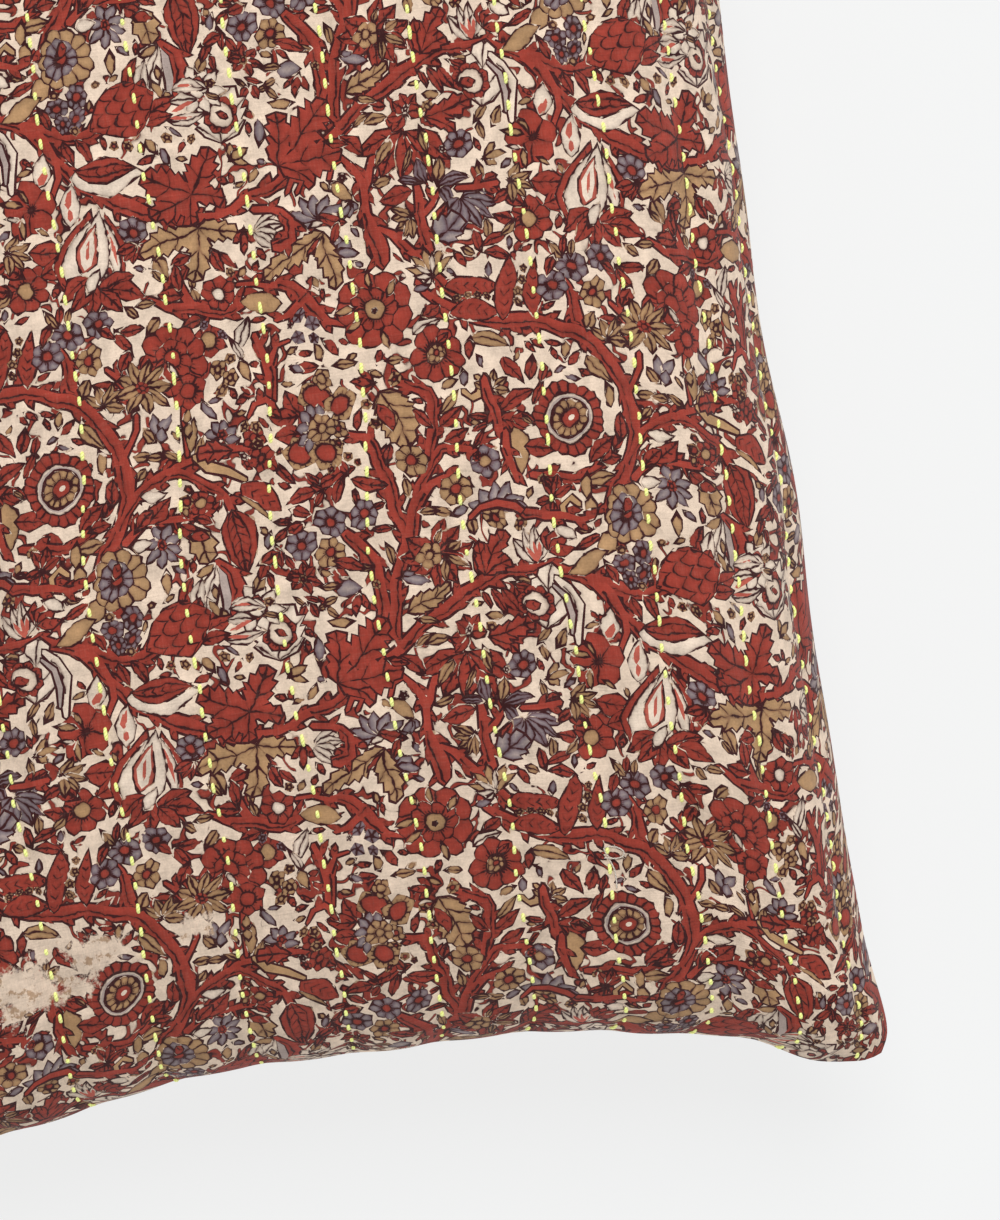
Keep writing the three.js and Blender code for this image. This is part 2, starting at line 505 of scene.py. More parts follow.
        b.blooms(7, GREY, 0.3, RED, (14.5, 34.6, 3.9), (23, 34, 3.8), (6.9, 39.2, 3.8))
        b.blooms(7, TAN, 0.3, RED, (14.1, 42.2, 3.8), (36.2, 22, 4), (46.4, 30.6, 3.9))
        b.blooms(6, GREY, 0.34, TAN, (54.6, 24.4, 3.6))
        b.bloom(52.9, 23, 1.5, 5, RED, 0.3, RED)
        b.leaves(TAN, 2, (34.5, 29, 80, 5, 2.6), (42, 35.1, 20, 5.4, 2.5), (38.4, 35, 170, 4.4, 2),
            (28.4, 45, 75, 5.4, 2.4), (48, 8.8, -40, 6.8, 3), (51, 46.7, 80, 4.8, 2),
            (49.6, 40, 85, 4.4, 2.4), (36, 61.6, 15, 5, 2.2), (61, 54.4, 15, 5.4, 2.4),
            (33.6, 66.4, 160, 5, 2))
        b.leaves(RED, 2, (47.6, 12.6, -30, 7, 3.4), (40.2, 12.4, -135, 6.8, 2.8),
            (48, 17.3, -25, 7.4, 3), (54, 13.4, 185, 5, 2), (54.4, 16, 160, 5.4, 2),
            (53.6, 19, 130, 5, 2), (49.6, 48.4, 85, 6, 2.4), (31.2, 19.6, -75, 5, 2.4))
        b.leaf(53, 14.8, 190, 2.6, 1.4, TAN, 1)
        b.stem([52, 7.3, 0.8, 53.6, 9, 0.9, 55.8, 7.6, 0.9, 56.8, 4.6, 0.9, 54.9, 3.4, 0.6], TAN)
        b.petals(58.6, 6.4, (-70, -20, 30, 80, 200, 240), 4, 2.2, TAN, root=0.4)
        b.leaf(58.4, 8.2, 80, 3.4, 2.2, GREY, 1)
        b.stem([57, 4, 1, 57.6, 8.5, 1.3, 58.5, 12.5, 1.4, 59.4, 17, 1])
        b.leaves(RED, 2, (64.2, 10, -28, 10, 3.6), (64.2, 15.4, 12, 11, 4.2), (60.2, 17.4, 62, 8, 3.4))
        b.leaf(63.1, 22.3, 88, 12.5, 6.6, TAN, 1)
        b.stem([60.8, 17, 0.8, 60, 22, 1.2, 61, 27, 1, 62.6, 30, 0.7])
        b.petals(56.2, 36.4, (-162, -128, -92, -55, -20), 6.6, 3.4, GREY, root=0.8, bands=1)
        b.leaves(GREY, 1, (47, 35.8, -12, 4.6, 2.2), (61.6, 36, 35, 4, 2))
        b.blooms(7, TAN, 0.3, RED, (55.2, 38.2, 2.9), (61.5, 40.4, 2.1))
        b.stem([49.5, 37.8, 0.7, 52.5, 35.4, 0.9, 56.5, 34.6, 0.9, 60.3, 35.8, 0.9, 62.6, 38.4, 0.6])
        b.petals(40, 45.6, (-75, -45, -12, 28, 62, 96, 150, 182, 212), 8.6, 4, RED, root=0.6)
        b.leaves(TAN, 2, (44.6, 43.6, -32, 5, 2.2), (44.6, 47.8, 28, 6.4, 2.4), (41.2, 50, 96, 5.6, 2.2),
            (41, 41.6, -62, 4.4, 1.8), (21.7, 46.4, 12, 4.2, 2))
        b.bloom(38, 45.8, 3.2, 5, TAN, 0.3, TAN)
        b.lobed(51.4, 51.4, ((-62, 11, 5.4), (-20, 7, 4), (-100, 7, 3.6)), RED)
        b.petals(64.4, 50, (-130, -105, -85, -62), 8.4, 3.2, WHITE, root=0.2, bands=2)
        b.petals(64.4, 49.8, (-118, -92, -72), 5, 1.1, ROSE, bands=-1)
        b.leaves(RED, 2, (3.4, 33, 10, 4.4, 2), (8.4, 31.5, 20, 5, 2.4), (5.8, 34.8, 165, 5, 2.4),
            (2.4, 36.6, 130, 4.6, 2), (1, 42, 90, 5, 2.4), (3.4, 43.6, 60, 4.6, 2.2),
            (18.4, 45.6, 15, 7.4, 3))
        b.petals(6.9, 47.4, (-150, -95, -40, 20, 75, 135, 180), 3.8, 2.4, RED, root=0.4)
        b.bloom(6.7, 47.6, 1.4, 5, TAN, 0.3, RED)
        b.leaves(GREY, 1, (17.3, 51.6, 0, 6.6, 3.6), (33.8, 51.2, 10, 6.2, 2.8), (32.4, 49.4, -20, 3, 2))
        b.leaves(TAN, 2, (12.8, 50.3, 15, 4.4, 2), (5, 53.5, 45, 3.2, 1.6), (10.5, 55, -30, 3.4, 1.8),
            (12.7, 53.6, -20, 3.8, 2), (13, 56.4, 30, 3.8, 2))
        b.leaves(RED, 2, (8, 56, 60, 4.4, 2.2), (5, 56, 110, 3.8, 2), (7.8, 52.6, 200, 4, 2))
        b.jagged(31, 59.2, -27, 12, 5, TAN, teeth=6, depth=0.25)
        b.settle()
        b.leaves(RED, 2, (54, 58.6, 60, 7, 2.6), (57, 59, 55, 8, 2.8), (60.5, 58.6, 48, 8, 2.8),
            (63.6, 57, 35, 7, 2.6), (50.6, 58, 75, 5, 2), (60, 55.4, 15, 5, 2))
        b.bloom(62.2, 59.2, 1.9, 5, TAN, 0.3, RED)

    def upper_right(self) -> None:
        """Prints the upper right quarter: the wheel flower, the thistle, the pods and a blossom."""
        b = self.block
        b.leaves(RED, 2, (64.4, 3, 60, 8, 3.6), (69, 3, 110, 5, 2.8), (70.4, 8.6, -62, 7, 2.8),
            (66.4, 15.6, 25, 7, 3.4), (69.4, 22.6, 12, 9, 4), (84, 24.2, -38, 9, 3.6),
            (86.4, 26.8, -18, 6, 2.8), (88.6, 22, -62, 6, 2.4), (90, 19, -70, 6, 3),
            (72, 4, -80, 4, 2.4))
        b.bloom(77.2, 16, 9.2, 22, RED, 0.65, WHITE)
        b.disc(77.2, 16, 5.4, GREY, 0)
        b.disc(77.2, 16, 4.95, PLUM, 0)
        b.bloom(77.2, 16, 4.3, 12, TAN, 0.46, RED)
        b.disc(77.2, 16, 0.75, WHITE, 0)
        b.leaves(TAN, 2, (67, 16, 60, 3.4, 1.7), (83.6, 31.2, -5, 7, 3), (86.4, 5, 55, 9, 3.2),
            (97.6, 15.6, -50, 4, 2.2), (77.2, 43.4, 10, 4, 2))
        b.leaves(TAN, 1, (79.4, 33, 95, 5.6, 3), (80, 37.8, 95, 5, 2.8), (111, 8.4, -72, 8, 2.6))
        b.blooms(5, TAN, 0.3, RED, (68.6, 30, 1.8), (99.8, 64, 1.8))
        b.petals(70.6, 34.6, (-110, -70, -25, 60, 110, 165), 5, 2.4, RED, root=0.3)
        b.stem([62.6, 38.4, 1.3, 68, 38.6, 1.1, 73, 39.4, 1, 77, 41, 0.8, 80, 40, 0.7])
        b.stem([73.2, 40, 0.8, 73.4, 37.2, 0.9, 75.4, 35.8, 0.9, 77.2, 37.4, 0.8], TAN)
        b.leaf(78.4, 46.3, -15, 6.4, 2.8, RED, 2)
        b.petals(67.2, 48.6, (-80, -60, -38, -14), 7, 2.8, RED, root=0.4, bands=1)
        b.leaf(72.8, 43.4, 35, 5, 2.8, WHITE, 1)
        b.leaf(83.4, 46.6, -52, 8, 4, TAN, 1)
        b.leaf(77.8, 51.2, -24, 11, 3.8, TAN, 1)
        b.bloom(90, 40.6, 7.6, 11, TAN, 0.3, TAN)
        b.bloom(88.7, 40.6, 4.6, 9, GREY, 0.3, RED)
        b.leaf(89, 38.4, -60, 4, 2.4, RED, 1)
        b.blooms(7, GREY, 0.34, RED, (86.2, 52.3, 2.9), (91.4, 50.4, 2.9), (91.3, 55.2, 2.6),
            (87.6, 56.2, 2.4))
        b.blooms(5, TAN, 0.4, TAN, (86, 48.6, 1.7), (90.8, 58, 1.7), (96.5, 47.8, 1.5))
        b.leaves(RED, 2, (83, 55, 70, 6, 2.6), (92, 63.4, 60, 7, 2.6), (88, 64, 75, 7, 2.4))
        b.petals(101, 34.3, (-110, -68, -25, 15, 55, 95, 140, 190), 4.6, 2.6, GREY, root=1, bands=1)
        b.bloom(101, 34.3, 1.9, 5, RED, 0.3, RED)
        b.leaves(WHITE, 1, (95.6, 33, 5, 5, 3), (100.4, 21.6, -6, 7, 2.8))
        b.leaves(RED, 2, (101, 25.6, -40, 9, 4), (97.6, 27, -45, 6, 3), (108, 31.4, 35, 6, 3),
            (112.4, 30, 20, 5, 2.6))
        b.lobed(110.2, 31.6, ((80, 8, 6.4),), TAN)
        b.leaf(110.6, 33.6, 20, 4.6, 2.6, RED, 1)
        b.blooms(7, RED, 0.42, TAN, (111.4, 25.4, 3.3), (107.4, 27, 1.7))
        b.blooms(5, TAN, 0.4, RED, (107.9, 24.8, 2.1), (108.8, 22, 1.5))
        b.leaf(112.7, 12, -66, 6, 3, TAN, 2)
        b.stem([111, 13.6, 0.9, 114.6, 16.6, 1.1, 118.6, 19.2, 1, 123, 21.4, 0.6], TAN)
        b.leaf(120.2, 36, 82, 17, 9.4, RED, 4)
        b.leaf(126.6, 26, 40, 12, 7.4, RED, 1)
        b.leaf(124.8, 28.6, 48, 10, 2.4, TAN, 1)
        b.leaves(GREY, 1, (102.4, 4.6, -100, 5, 3), (105.2, 4.4, -60, 5, 3), (104, 7.4, -75, 4, 2.8))
        b.leaves(TAN, 2, (100.4, 7, -130, 4.6, 2.4), (98.6, 11.4, 190, 4.4, 2.4),
            (101.6, 12.6, -160, 4, 2.2), (105.2, 13, -150, 4, 2))
        b.leaves(TAN, 1, (110.7, 3.8, -85, 3, 2), (110.6, 6.8, -85, 3, 2), (124, 4.8, 5, 3, 1.6))
        b.petals(118.6, 10.4, (-165, -125, -85, -40, 5), 4, 2.4, GREY, root=0.8, bands=1)
        b.bloom(118.6, 9.6, 1.7, 5, RED, 0.3, RED)
        b.lobed(121, 13.6, ((182, 9, 4.6),), RED)
        b.blooms(6, RED, 0.3, RED, (126.4, 11.4, 2.8), (127.6, 16.8, 3.2), (123.6, 17.4, 1.9))
        b.blooms(5, TAN, 0.3, TAN, (124.6, 8.4, 1.9), (127.5, 9.4, 1.9), (127, 13, 1.7))
        b.blooms(5, WHITE, 0.3, WHITE, (123.4, 15.4, 1.5), (109, 6.2, 1.1))
        b.stem([126, 6.6, 0.7, 127, 3.6, 0.9, 130, 2.6, 1.1, 132, 4, 0.9])
        self.thistle()
        b.jagged(127, 67, -90, 13.5, 14, WHITE, teeth=5, depth=0.22)
        b.settle()
        b.bloom(127, 60, 4.6, 8, RED, 0.62, BARE)
        b.leaf(127.4, 60, 10, 3, 2, RED, 1)
        b.petals(122.6, 53, (10, 45, 80, 120, 155, 200, 240, 280, 320), 5, 3, WHITE, root=1.6, bands=1)
        b.bloom(122.6, 53, 3.1, 6, ROSE, 0.66, WHITE)
        b.leaf(122.8, 53, 10, 2.2, 1, BARE, 2)
        b.leaves(WHITE, 2, (120, 52.2, 6, 9, 3), (118.4, 55, 8, 8, 2.6), (119, 59.6, 0, 9, 2.8))
        b.leaves(ROSE, -1, (119, 52, 10, 5, 0.9), (118.2, 56.6, -14, 6, 1.4), (117.6, 59, 4, 5, 0.9))
        b.blooms(5, TAN, 0.3, TAN, (125.6, 51.4, 1.7), (118.8, 64.4, 1.7), (112.8, 64, 1.8),
            (103.8, 63.8, 1.8))
        b.leaves(TAN, 2, (123.6, 46.4, -55, 5.6, 2.8), (126, 55, 30, 3.6, 1.8))
        b.leaves(RED, 2, (125, 44, -60, 4.4, 2.4), (127, 41.4, -20, 5, 2.6), (126.6, 47, 70, 4, 2))

    def thistle(self) -> None:
        """Prints the scaly thistle with its white tuft."""
        b = self.block
        b.leaf(105.6, 47, -68, 9, 3.4, RED, 2)
        b.stem([114, 40.6, 0.9, 117.6, 43.4, 1.7, 118.2, 48, 1.8, 116.4, 53, 1.1])
        b.stem([112.6, 40.8, 0.8, 115, 44.6, 1.1, 115.4, 49.6, 1.1, 114.4, 53, 0.7], GREY)
        b.leaves(WHITE, 2, (111.6, 46.4, -70, 12, 4.4), (108.6, 47.6, -78, 9, 3.6))
        b.leaf(110.4, 41.6, 165, 5.4, 2.4, TAN, 1)
        b.leaves(TAN, 1, (111.8, 51.4, 72, 4.6, 2.2), (114.2, 53.2, 65, 3.6, 2), (113, 47.6, 85, 3, 1.6))
        b.leaves(RED, 2, (112.4, 55.4, -28, 9, 4), (111.6, 58.6, -8, 8, 3.6), (107.4, 51.4, -60, 7, 3.6))
        b.leaf(102.4, 55.6, 155, 18, 14, RED, 1, mark=Mark.SCALES)

    def lower_left(self) -> None:
        """Prints the lower left quarter: the maple leaf, the lily, the lotuses and the open flower."""
        b = self.block
        b.lobed(12.6, 74.6, ((-48, 19, 10.5), (-6, 15, 9), (-88, 13, 7), (32, 9, 6)), RED)
        b.petals(45, 70, (163, 128, 98, 66, 38), 13, 4.8, RED, root=0.6)
        b.leaves(TAN, 2, (37, 66.7, 160, 6.6, 2.4), (38.6, 75.2, 128, 7.6, 2.6), (44, 77.4, 108, 9, 2.2),
            (49.2, 73.6, 80, 6.4, 2.2), (37.2, 81.6, -15, 5, 2.4), (54, 70.4, 30, 3.6, 2))
        b.petals(45.4, 66, (-100, -50, 0, 130, 180, 230), 4.6, 3.2, RED, root=0.6)
        b.bloom(45.4, 65, 1.6, 5, WHITE, 0.3, WHITE)
        b.bloom(51.9, 64.6, 2, 5, TAN, 0.3, TAN)
        b.lobed(50.6, 67.4, ((-14, 11, 5), (30, 7, 3.6)), RED)
        b.bloom(58, 74.6, 3.7, 7, GREY, 0.34, RED)
        b.blooms(5, WHITE, 0.3, WHITE, (54.2, 75.8, 1.4), (28, 79.8, 1.5))
        b.leaf(27.2, 83, 52, 6, 3.4, TAN, 1)
        b.petals(28, 86, (40, 80, 120), 3.4, 2.2, GREY, bands=1)
        b.petals(20.2, 89.6, (-178, -150, -118, -92, -64, -36, -8), 6.8, 2.8, GREY, root=0.6, bands=1)
        b.leaf(19.6, 90.2, -10, 4, 1.8, WHITE, 1)
        b.petals(24, 98, (-75, -40, -5, 100, 140, 180, 215), 4.8, 2.6, GREY, root=0.4, bands=1)
        b.leaves(GREY, 3, (47.6, 79.8, -112, 7, 3), (44.4, 82.4, -172, 6, 2.6), (55.4, 83.4, -6, 7.4, 3),
            (53.6, 87.4, 60, 6, 3))
        b.petals(57, 88, (-14, 12, 38, 66, 98, 150), 8.4, 3.4, GREY, root=0.6, bands=2)
        b.leaves(RED, 2, (40.6, 85.6, 176, 8, 4.2), (52, 90.6, -60, 5, 2.4), (64.4, 84, 0, 6, 2.6),
            (24, 89.4, 12, 8, 3), (24.4, 92.6, 110, 6, 2.4))
        b.petals(43.6, 91, (150, 182, 212, 120, 90), 5.2, 2.2, TAN, root=0.2)
        b.jagged(49.4, 97.6, -40, 8.4, 7, GREY, teeth=4, depth=0.3)
        b.settle()
        b.leaves(TAN, 2, (52.4, 80.2, -72, 5.6, 2.8), (62.4, 82, 80, 4.6, 2.2), (62.4, 96.4, 82, 5, 2.4),
            (57, 100.8, 20, 3.6, 2.2))
        b.stem([56, 86, 0.7, 61, 85.4, 1, 67, 85.6, 0.7])
        b.leaves(RED, 2, (31, 71.6, 40, 8, 3.4), (27.4, 71, 10, 5, 2.4), (59.6, 98.6, -110, 5, 2.6),
            (64, 99, 160, 7, 3), (64.6, 102.6, 190, 7, 3))
        b.lobed(21, 92.4, ((152, 17, 6.4), (82, 13, 5.6)), TAN)
        b.leaves(RED, 1, (18.6, 95.4, 135, 5, 1.6))
        b.petals(4.4, 89.4, (-35, -8, 22, 50), 7.4, 3, WHITE, root=0.3)
        b.stem([4, 84.4, 0.8, 9, 84.4, 1, 13.4, 87.4, 1.3, 13, 92, 1.3, 9, 94.4, 1.5])
        b.stem([13.4, 81.4, 0.8, 14.4, 78.8, 0.8, 17, 79.6, 0.8, 16, 82, 0.6])
        b.leaf(4, 107, -172, 10, 6.6, TAN, 1)
        b.blooms(5, GREY, 0.1, GREY, (13, 111.6, 2.2), (16.4, 114, 2.2), (12.2, 116.6, 2.2),
            (15.8, 117.4, 1.7))
        b.blooms(5, WHITE, 0.2, WHITE, (10.6, 113, 1.2))
        b.petals(47, 105.6, (-165, -130, -98, -62, -30), 6.4, 2.4, TAN, root=0.4, bands=1)
        b.petals(47, 105.4, (-150, -80, 130, 175), 5, 1.6, WHITE, root=0.2, bands=1)
        b.leaf(44, 108.4, 160, 4, 2, GREY, 1)
        b.leaf(43.8, 118, -22, 7.4, 3.4, WHITE, 2)
        b.leaf(46, 114.4, -35, 6, 2.8, RED, 2)
        b.bloom(31.8, 112.4, 10, 9, RED, 0.26, TAN)
        b.bloom(31.8, 112.4, 6, 9, RED, 0.44, TAN, turn=20)
        b.leaves(TAN, 1, (31.4, 104.8, -88, 4, 1.8), (36.4, 107.4, -46, 4, 1.8),
            (24.2, 111.8, 178, 5, 1.9), (25.6, 115.8, 150, 4.4, 1.8), (33.6, 120.6, 80, 4.4, 1.8),
            (27, 106.6, -130, 3.4, 1.6))
        b.bloom(31.6, 112.6, 1.2, 5, WHITE, 0.3, PLUM)
        b.bloom(46, 125, 7.2, 9, RED, 0.36, TAN)
        b.bloom(46, 125, 2.4, 6, TAN, 0.3, RED)
        b.leaves(TAN, 2, (59.4, 123.2, 18, 9, 3.6), (35.4, 125.6, 5, 4.4, 2.4),
            (23.6, 124.6, -8, 5, 2.4))
        b.leaves(RED, 2, (13.6, 124, 5, 6, 3), (10.4, 124.6, 0, 3, 1.8), (48.2, 121.2, -50, 4, 2.4))
        b.leaf(10.8, 124.3, 8, 3.6, 2.2, GREY, 1)
        b.bloom(17, 127.4, 2.6, 5, TAN, 0.4, TAN)
        b.leaves(RED, 1, (57, 109.6, 4, 14, 6), (57, 115.6, 6, 13, 4.6))
        b.blooms(5, TAN, 0.3, TAN, (52.6, 112, 1.3), (55, 112, 1.4), (57.4, 112.1, 1.4),
            (59.8, 112.2, 1.4), (62, 112.6, 1.2))

    def lower_right(self) -> None:
        """Prints the lower right quarter: the eye pod, the tulip, the comb pod and the rose."""
        b = self.block
        b.leaf(97, 70.6, 3, 19, 9.6, WHITE, 1)
        b.leaf(96.8, 69, 3, 16, 6.4, RED, 3)
        b.leaf(80.8, 66.4, -72, 8, 3.8, WHITE, 1)
        b.leaf(80.6, 68, -60, 4, 1.5, ROSE, -1)
        b.leaf(87.2, 76, -78, 9.6, 4.4, WHITE, 1)
        b.leaves(ROSE, -1, (87.4, 74.4, -70, 4, 1.5), (86.6, 78, -80, 3, 1.2))
        b.bloom(77, 75.8, 7.4, 5, RED, 0.1, PLUM, turn=18)
        b.leaves(TAN, 1, (72.6, 73.6, 22, 5, 1.8), (75, 80, 92, 5, 1.9), (75.2, 72.6, 60, 4, 1.3),
            (79.6, 82, 40, 3, 1.6), (72.8, 68, 0, 3, 1.8))
        b.leaf(72.6, 77, 5, 4, 1.3, WHITE, 1)
        b.leaves(RED, 2, (80, 86.8, 14, 9, 4.8), (82.4, 91, -4, 8, 4.6))
        b.leaf(87.4, 87.4, -63, 21, 8.6, RED, 1)
        b.leaf(88.2, 88.2, -63, 18.4, 6.8, WHITE, 1)
        b.leaf(97, 88, -98, 20, 5.4, RED, 1)
        b.leaf(96.4, 88.4, -98, 17, 3.8, WHITE, 1)
        b.leaf(96.6, 88.4, -98, 9, 1, ROSE, -1)
        b.leaf(92, 88, -77, 20, 8, WHITE, 1)
        b.leaf(90.6, 87.4, -68, 11.6, 4.6, ROSE, 1)
        b.leaf(90.7, 87.4, -68, 9.4, 2.8, WHITE, -1)
        b.leaf(90.7, 87.4, -68, 5.6, 1, ROSE, -1)
        b.leaves(RED, 2, (85.8, 96.4, 152, 8.6, 4.6), (96.8, 96.6, -8, 9, 4.4), (99.4, 99.4, 24, 8, 4),
            (90.6, 99.6, 98, 10, 5.4), (87.4, 99.4, 130, 7, 4), (95, 100.6, 60, 7, 4))
        b.leaf(90.8, 95.4, -62, 6.4, 3, WHITE, 1)
        b.bloom(74, 95, 6, 7, RED, 0.34, TAN)
        b.bloom(102, 84.8, 3.6, 7, GREY, 0.3, RED)
        b.petals(102, 87.6, (28, 62, 92, 122, 152), 5, 2.8, RED, root=0.2)
        b.leaves(TAN, 2, (108.2, 95, 75, 6.4, 3.2), (116, 99.4, 85, 4.4, 2.2), (116, 103.2, 85, 4, 2),
            (107, 96.4, 60, 4, 2), (103.6, 103.2, 0, 5, 2.4), (99.6, 104.6, 40, 4, 2.2),
            (105, 108.6, -50, 5, 2.4), (68, 96.6, 150, 5, 2.6), (64.4, 68, -60, 5, 2.4),
            (64.4, 73, 85, 4, 2.2), (69, 68.6, -60, 5, 2.6))
        b.lobed(118.6, 87, ((168, 15, 7), (100, 12, 7), (12, 9, 6)), TAN)
        b.lobed(117.4, 78.4, ((-60, 12, 7), (-150, 13, 8), (160, 11, 7), (95, 7, 5), (10, 8, 5)), RED)
        b.leaves(RED, 2, (112.6, 94, 150, 5, 3), (109.6, 101.6, 190, 7, 3), (122.4, 95.6, 65, 6, 3),
            (125.4, 96, 45, 5, 2.4), (99.6, 108.6, 10, 6, 2.8), (113.8, 109.4, 170, 6, 2.8),
            (111.6, 98, -100, 6, 3))
        b.blooms(7, RED, 0.36, WHITE, (121.6, 103.2, 4.2))
        b.blooms(6, RED, 0.46, TAN, (118, 114.4, 4.2))
        b.blooms(5, GREY, 0.3, GREY, (121.9, 113.6, 1.7), (117.4, 110.6, 1.7))
        b.blooms(5, TAN, 0.3, TAN, (119.4, 121.6, 2.4), (122.4, 119.6, 1.9), (122.6, 124.4, 2.4),
            (120, 126.6, 2.2), (125, 98.6, 1.5))
        b.leaves(WHITE, 2, (126.4, 113.4, -60, 8, 3), (124.6, 117.6, 70, 6, 2.4))
        b.leaves(RED, 2, (70, 90, -150, 6, 3), (67, 88.6, 160, 5, 2.4), (66.8, 93.6, 200, 6, 3))
        b.petals(70.6, 85.4, (-60, -20, 20, 60, 100), 5.4, 2.6, TAN, root=0.2)
        b.leaves(RED, 1, (65.6, 110.6, -75, 17, 6.4), (72.6, 111.6, -78, 15, 5))
        b.blooms(5, TAN, 0.3, TAN, (70.6, 106.4, 1.6), (70, 109.4, 1.7), (69, 112.4, 1.7),
            (68.4, 115.2, 1.5))
        b.blooms(7, GREY, 0.3, RED, (83, 107.2, 3.8), (90.9, 106.2, 3.6), (77.4, 111.6, 3.8))
        b.bloom(87.8, 114.2, 3.7, 7, TAN, 0.3, RED)
        b.leaves(TAN, 2, (79.4, 103.4, 50, 5, 2.6), (84, 102.6, -75, 4, 2.2), (86, 121, -60, 5, 2.6))
        b.leaves(RED, 2, (81.6, 101.6, -80, 4.6, 2.4), (97, 111.4, 60, 6, 3.2),
            (96.4, 116.4, 120, 6, 2.8), (91, 121.4, 20, 7, 3), (77.8, 107, 110, 5, 2.6),
            (93, 109, 30, 4.6, 2.6))
        b.petals(90.4, 126, (-150, -110, -70, -30, 10), 5.6, 2.6, TAN, root=0.4)
        b.bloom(108.6, 117.6, 9, 9, RED, 0.5, RED)
        b.bloom(108.6, 117.6, 5.4, 7, RED, 0.4, RED, turn=30)
        b.bloom(111.4, 126, 5, 6, RED, 0.4, RED)
        b.petals(100.6, 123, (-160, -118, -78, -38, 4, 44, 86, 128, 168), 6.4, 3, TAN, root=0.8)
        b.bloom(100.6, 123, 2.2, 6, RED, 0.3, RED)
        b.leaf(108.4, 120.6, 60, 4, 1.6, WHITE, 1)
        self.ring_flower()

    def ring_flower(self) -> None:
        """Prints the half flower with a red ring and a saw-edged white rim, and the white streamer."""
        b = self.block
        b.jagged(64.6, 66.6, -78, 15, 12, WHITE, teeth=6, depth=0.2)
        b.settle()
        b.bloom(63.2, 60, 5, 8, RED, 0.62, BARE)
        b.leaf(62.6, 60.4, -20, 4, 2.6, RED, 1)
        b.stem([69.4, 54.4, 0.7, 71.6, 57.4, 1.3, 73.4, 61.6, 1.4, 73.6, 66.6, 1.1,
            72.6, 71, 0.6], WHITE)
        b.stem([68.6, 56, 0.5, 70.6, 59.6, 0.8, 72, 64, 0.8, 72, 68, 0.5], GREY)

    def fill_gaps(self, cell: float = 0.5, tries: int = 11000) -> None:
        """Prints small leaves wherever the ground is still wide, sprigs first.

        Args:
            cell: size of the squares in which the ground is searched, in mm.
            tries: how many places are tried.
        """
        rng = np.random.default_rng(self.seed)
        count = round(self.size / cell)
        taken = np.zeros((count, count), bool)
        for patch in self.block.patches:
            self.occupy(taken, patch.rim, cell)
        turns = np.arange(16) * np.pi / 8
        for number, (s, t, lean) in enumerate(rng.uniform(0, 1, (tries, 3)).tolist()):
            s, t, lean = s * self.size, t * self.size, lean * 360
            sprig = number < tries / 3
            length, width = self.sprig if sprig else rng.choice(self.small)
            ring = np.stack([np.cos(turns) * length / 2, np.sin(turns) * width / 2], axis=1)
            inner = ring * 0.5
            a = math.radians(lean)
            own = np.vstack([ring, inner, [(0, 0)]])
            x = s + own[:, 0] * math.cos(a) - own[:, 1] * math.sin(a)
            y = t + own[:, 0] * math.sin(a) + own[:, 1] * math.cos(a)
            if taken[(x / cell).astype(int) % count, (y / cell).astype(int) % count].any():
                continue
            first = len(self.block.patches)
            ink = (RED, TAN, RED, TAN, GREY)[number % 5]
            if sprig:
                root = s - 3.2 * math.cos(a), t - 3.2 * math.sin(a)
                self.block.petals(*root, (lean - 42, lean + 42), 4.4, 2.0, ink, root=0.3, bands=1)
                self.block.petals(*root, (lean,), 5.6, 2.2, ink, root=0.3, bands=1)
            else:
                self.block.leaf(s, t, lean, length, width, ink, 1)
            for patch in self.block.patches[first:]:
                self.occupy(taken, patch.rim, cell)

    def occupy(self, taken: Array, rim: Array, cell: float) -> None:
        """Marks the squares of the ground that lie inside a rim.

        Args:
            taken: the squares of one repeat, changed in place.
            rim: the rim's points.
            cell: size of a square.
        """
        low = np.floor(rim.min(axis=0) / cell).astype(int)
        high = np.ceil(rim.max(axis=0) / cell).astype(int) + 1
        i, j = np.meshgrid(np.arange(low[0], high[0]), np.arange(low[1], high[1]), indexing="ij")
        x, y = (i + 0.5) * cell, (j + 0.5) * cell
        inside = np.zeros(i.shape, bool)
        for (x0, y0), (x1, y1) in zip(rim, np.roll(rim, -1, axis=0), strict=True):
            if y0 != y1:
                inside ^= ((y0 > y) != (y1 > y)) & (x < (x1 - x0) * (y - y0) / (y1 - y0) + x0)
        taken[(i % len(taken))[inside], (j % len(taken))[inside]] = True


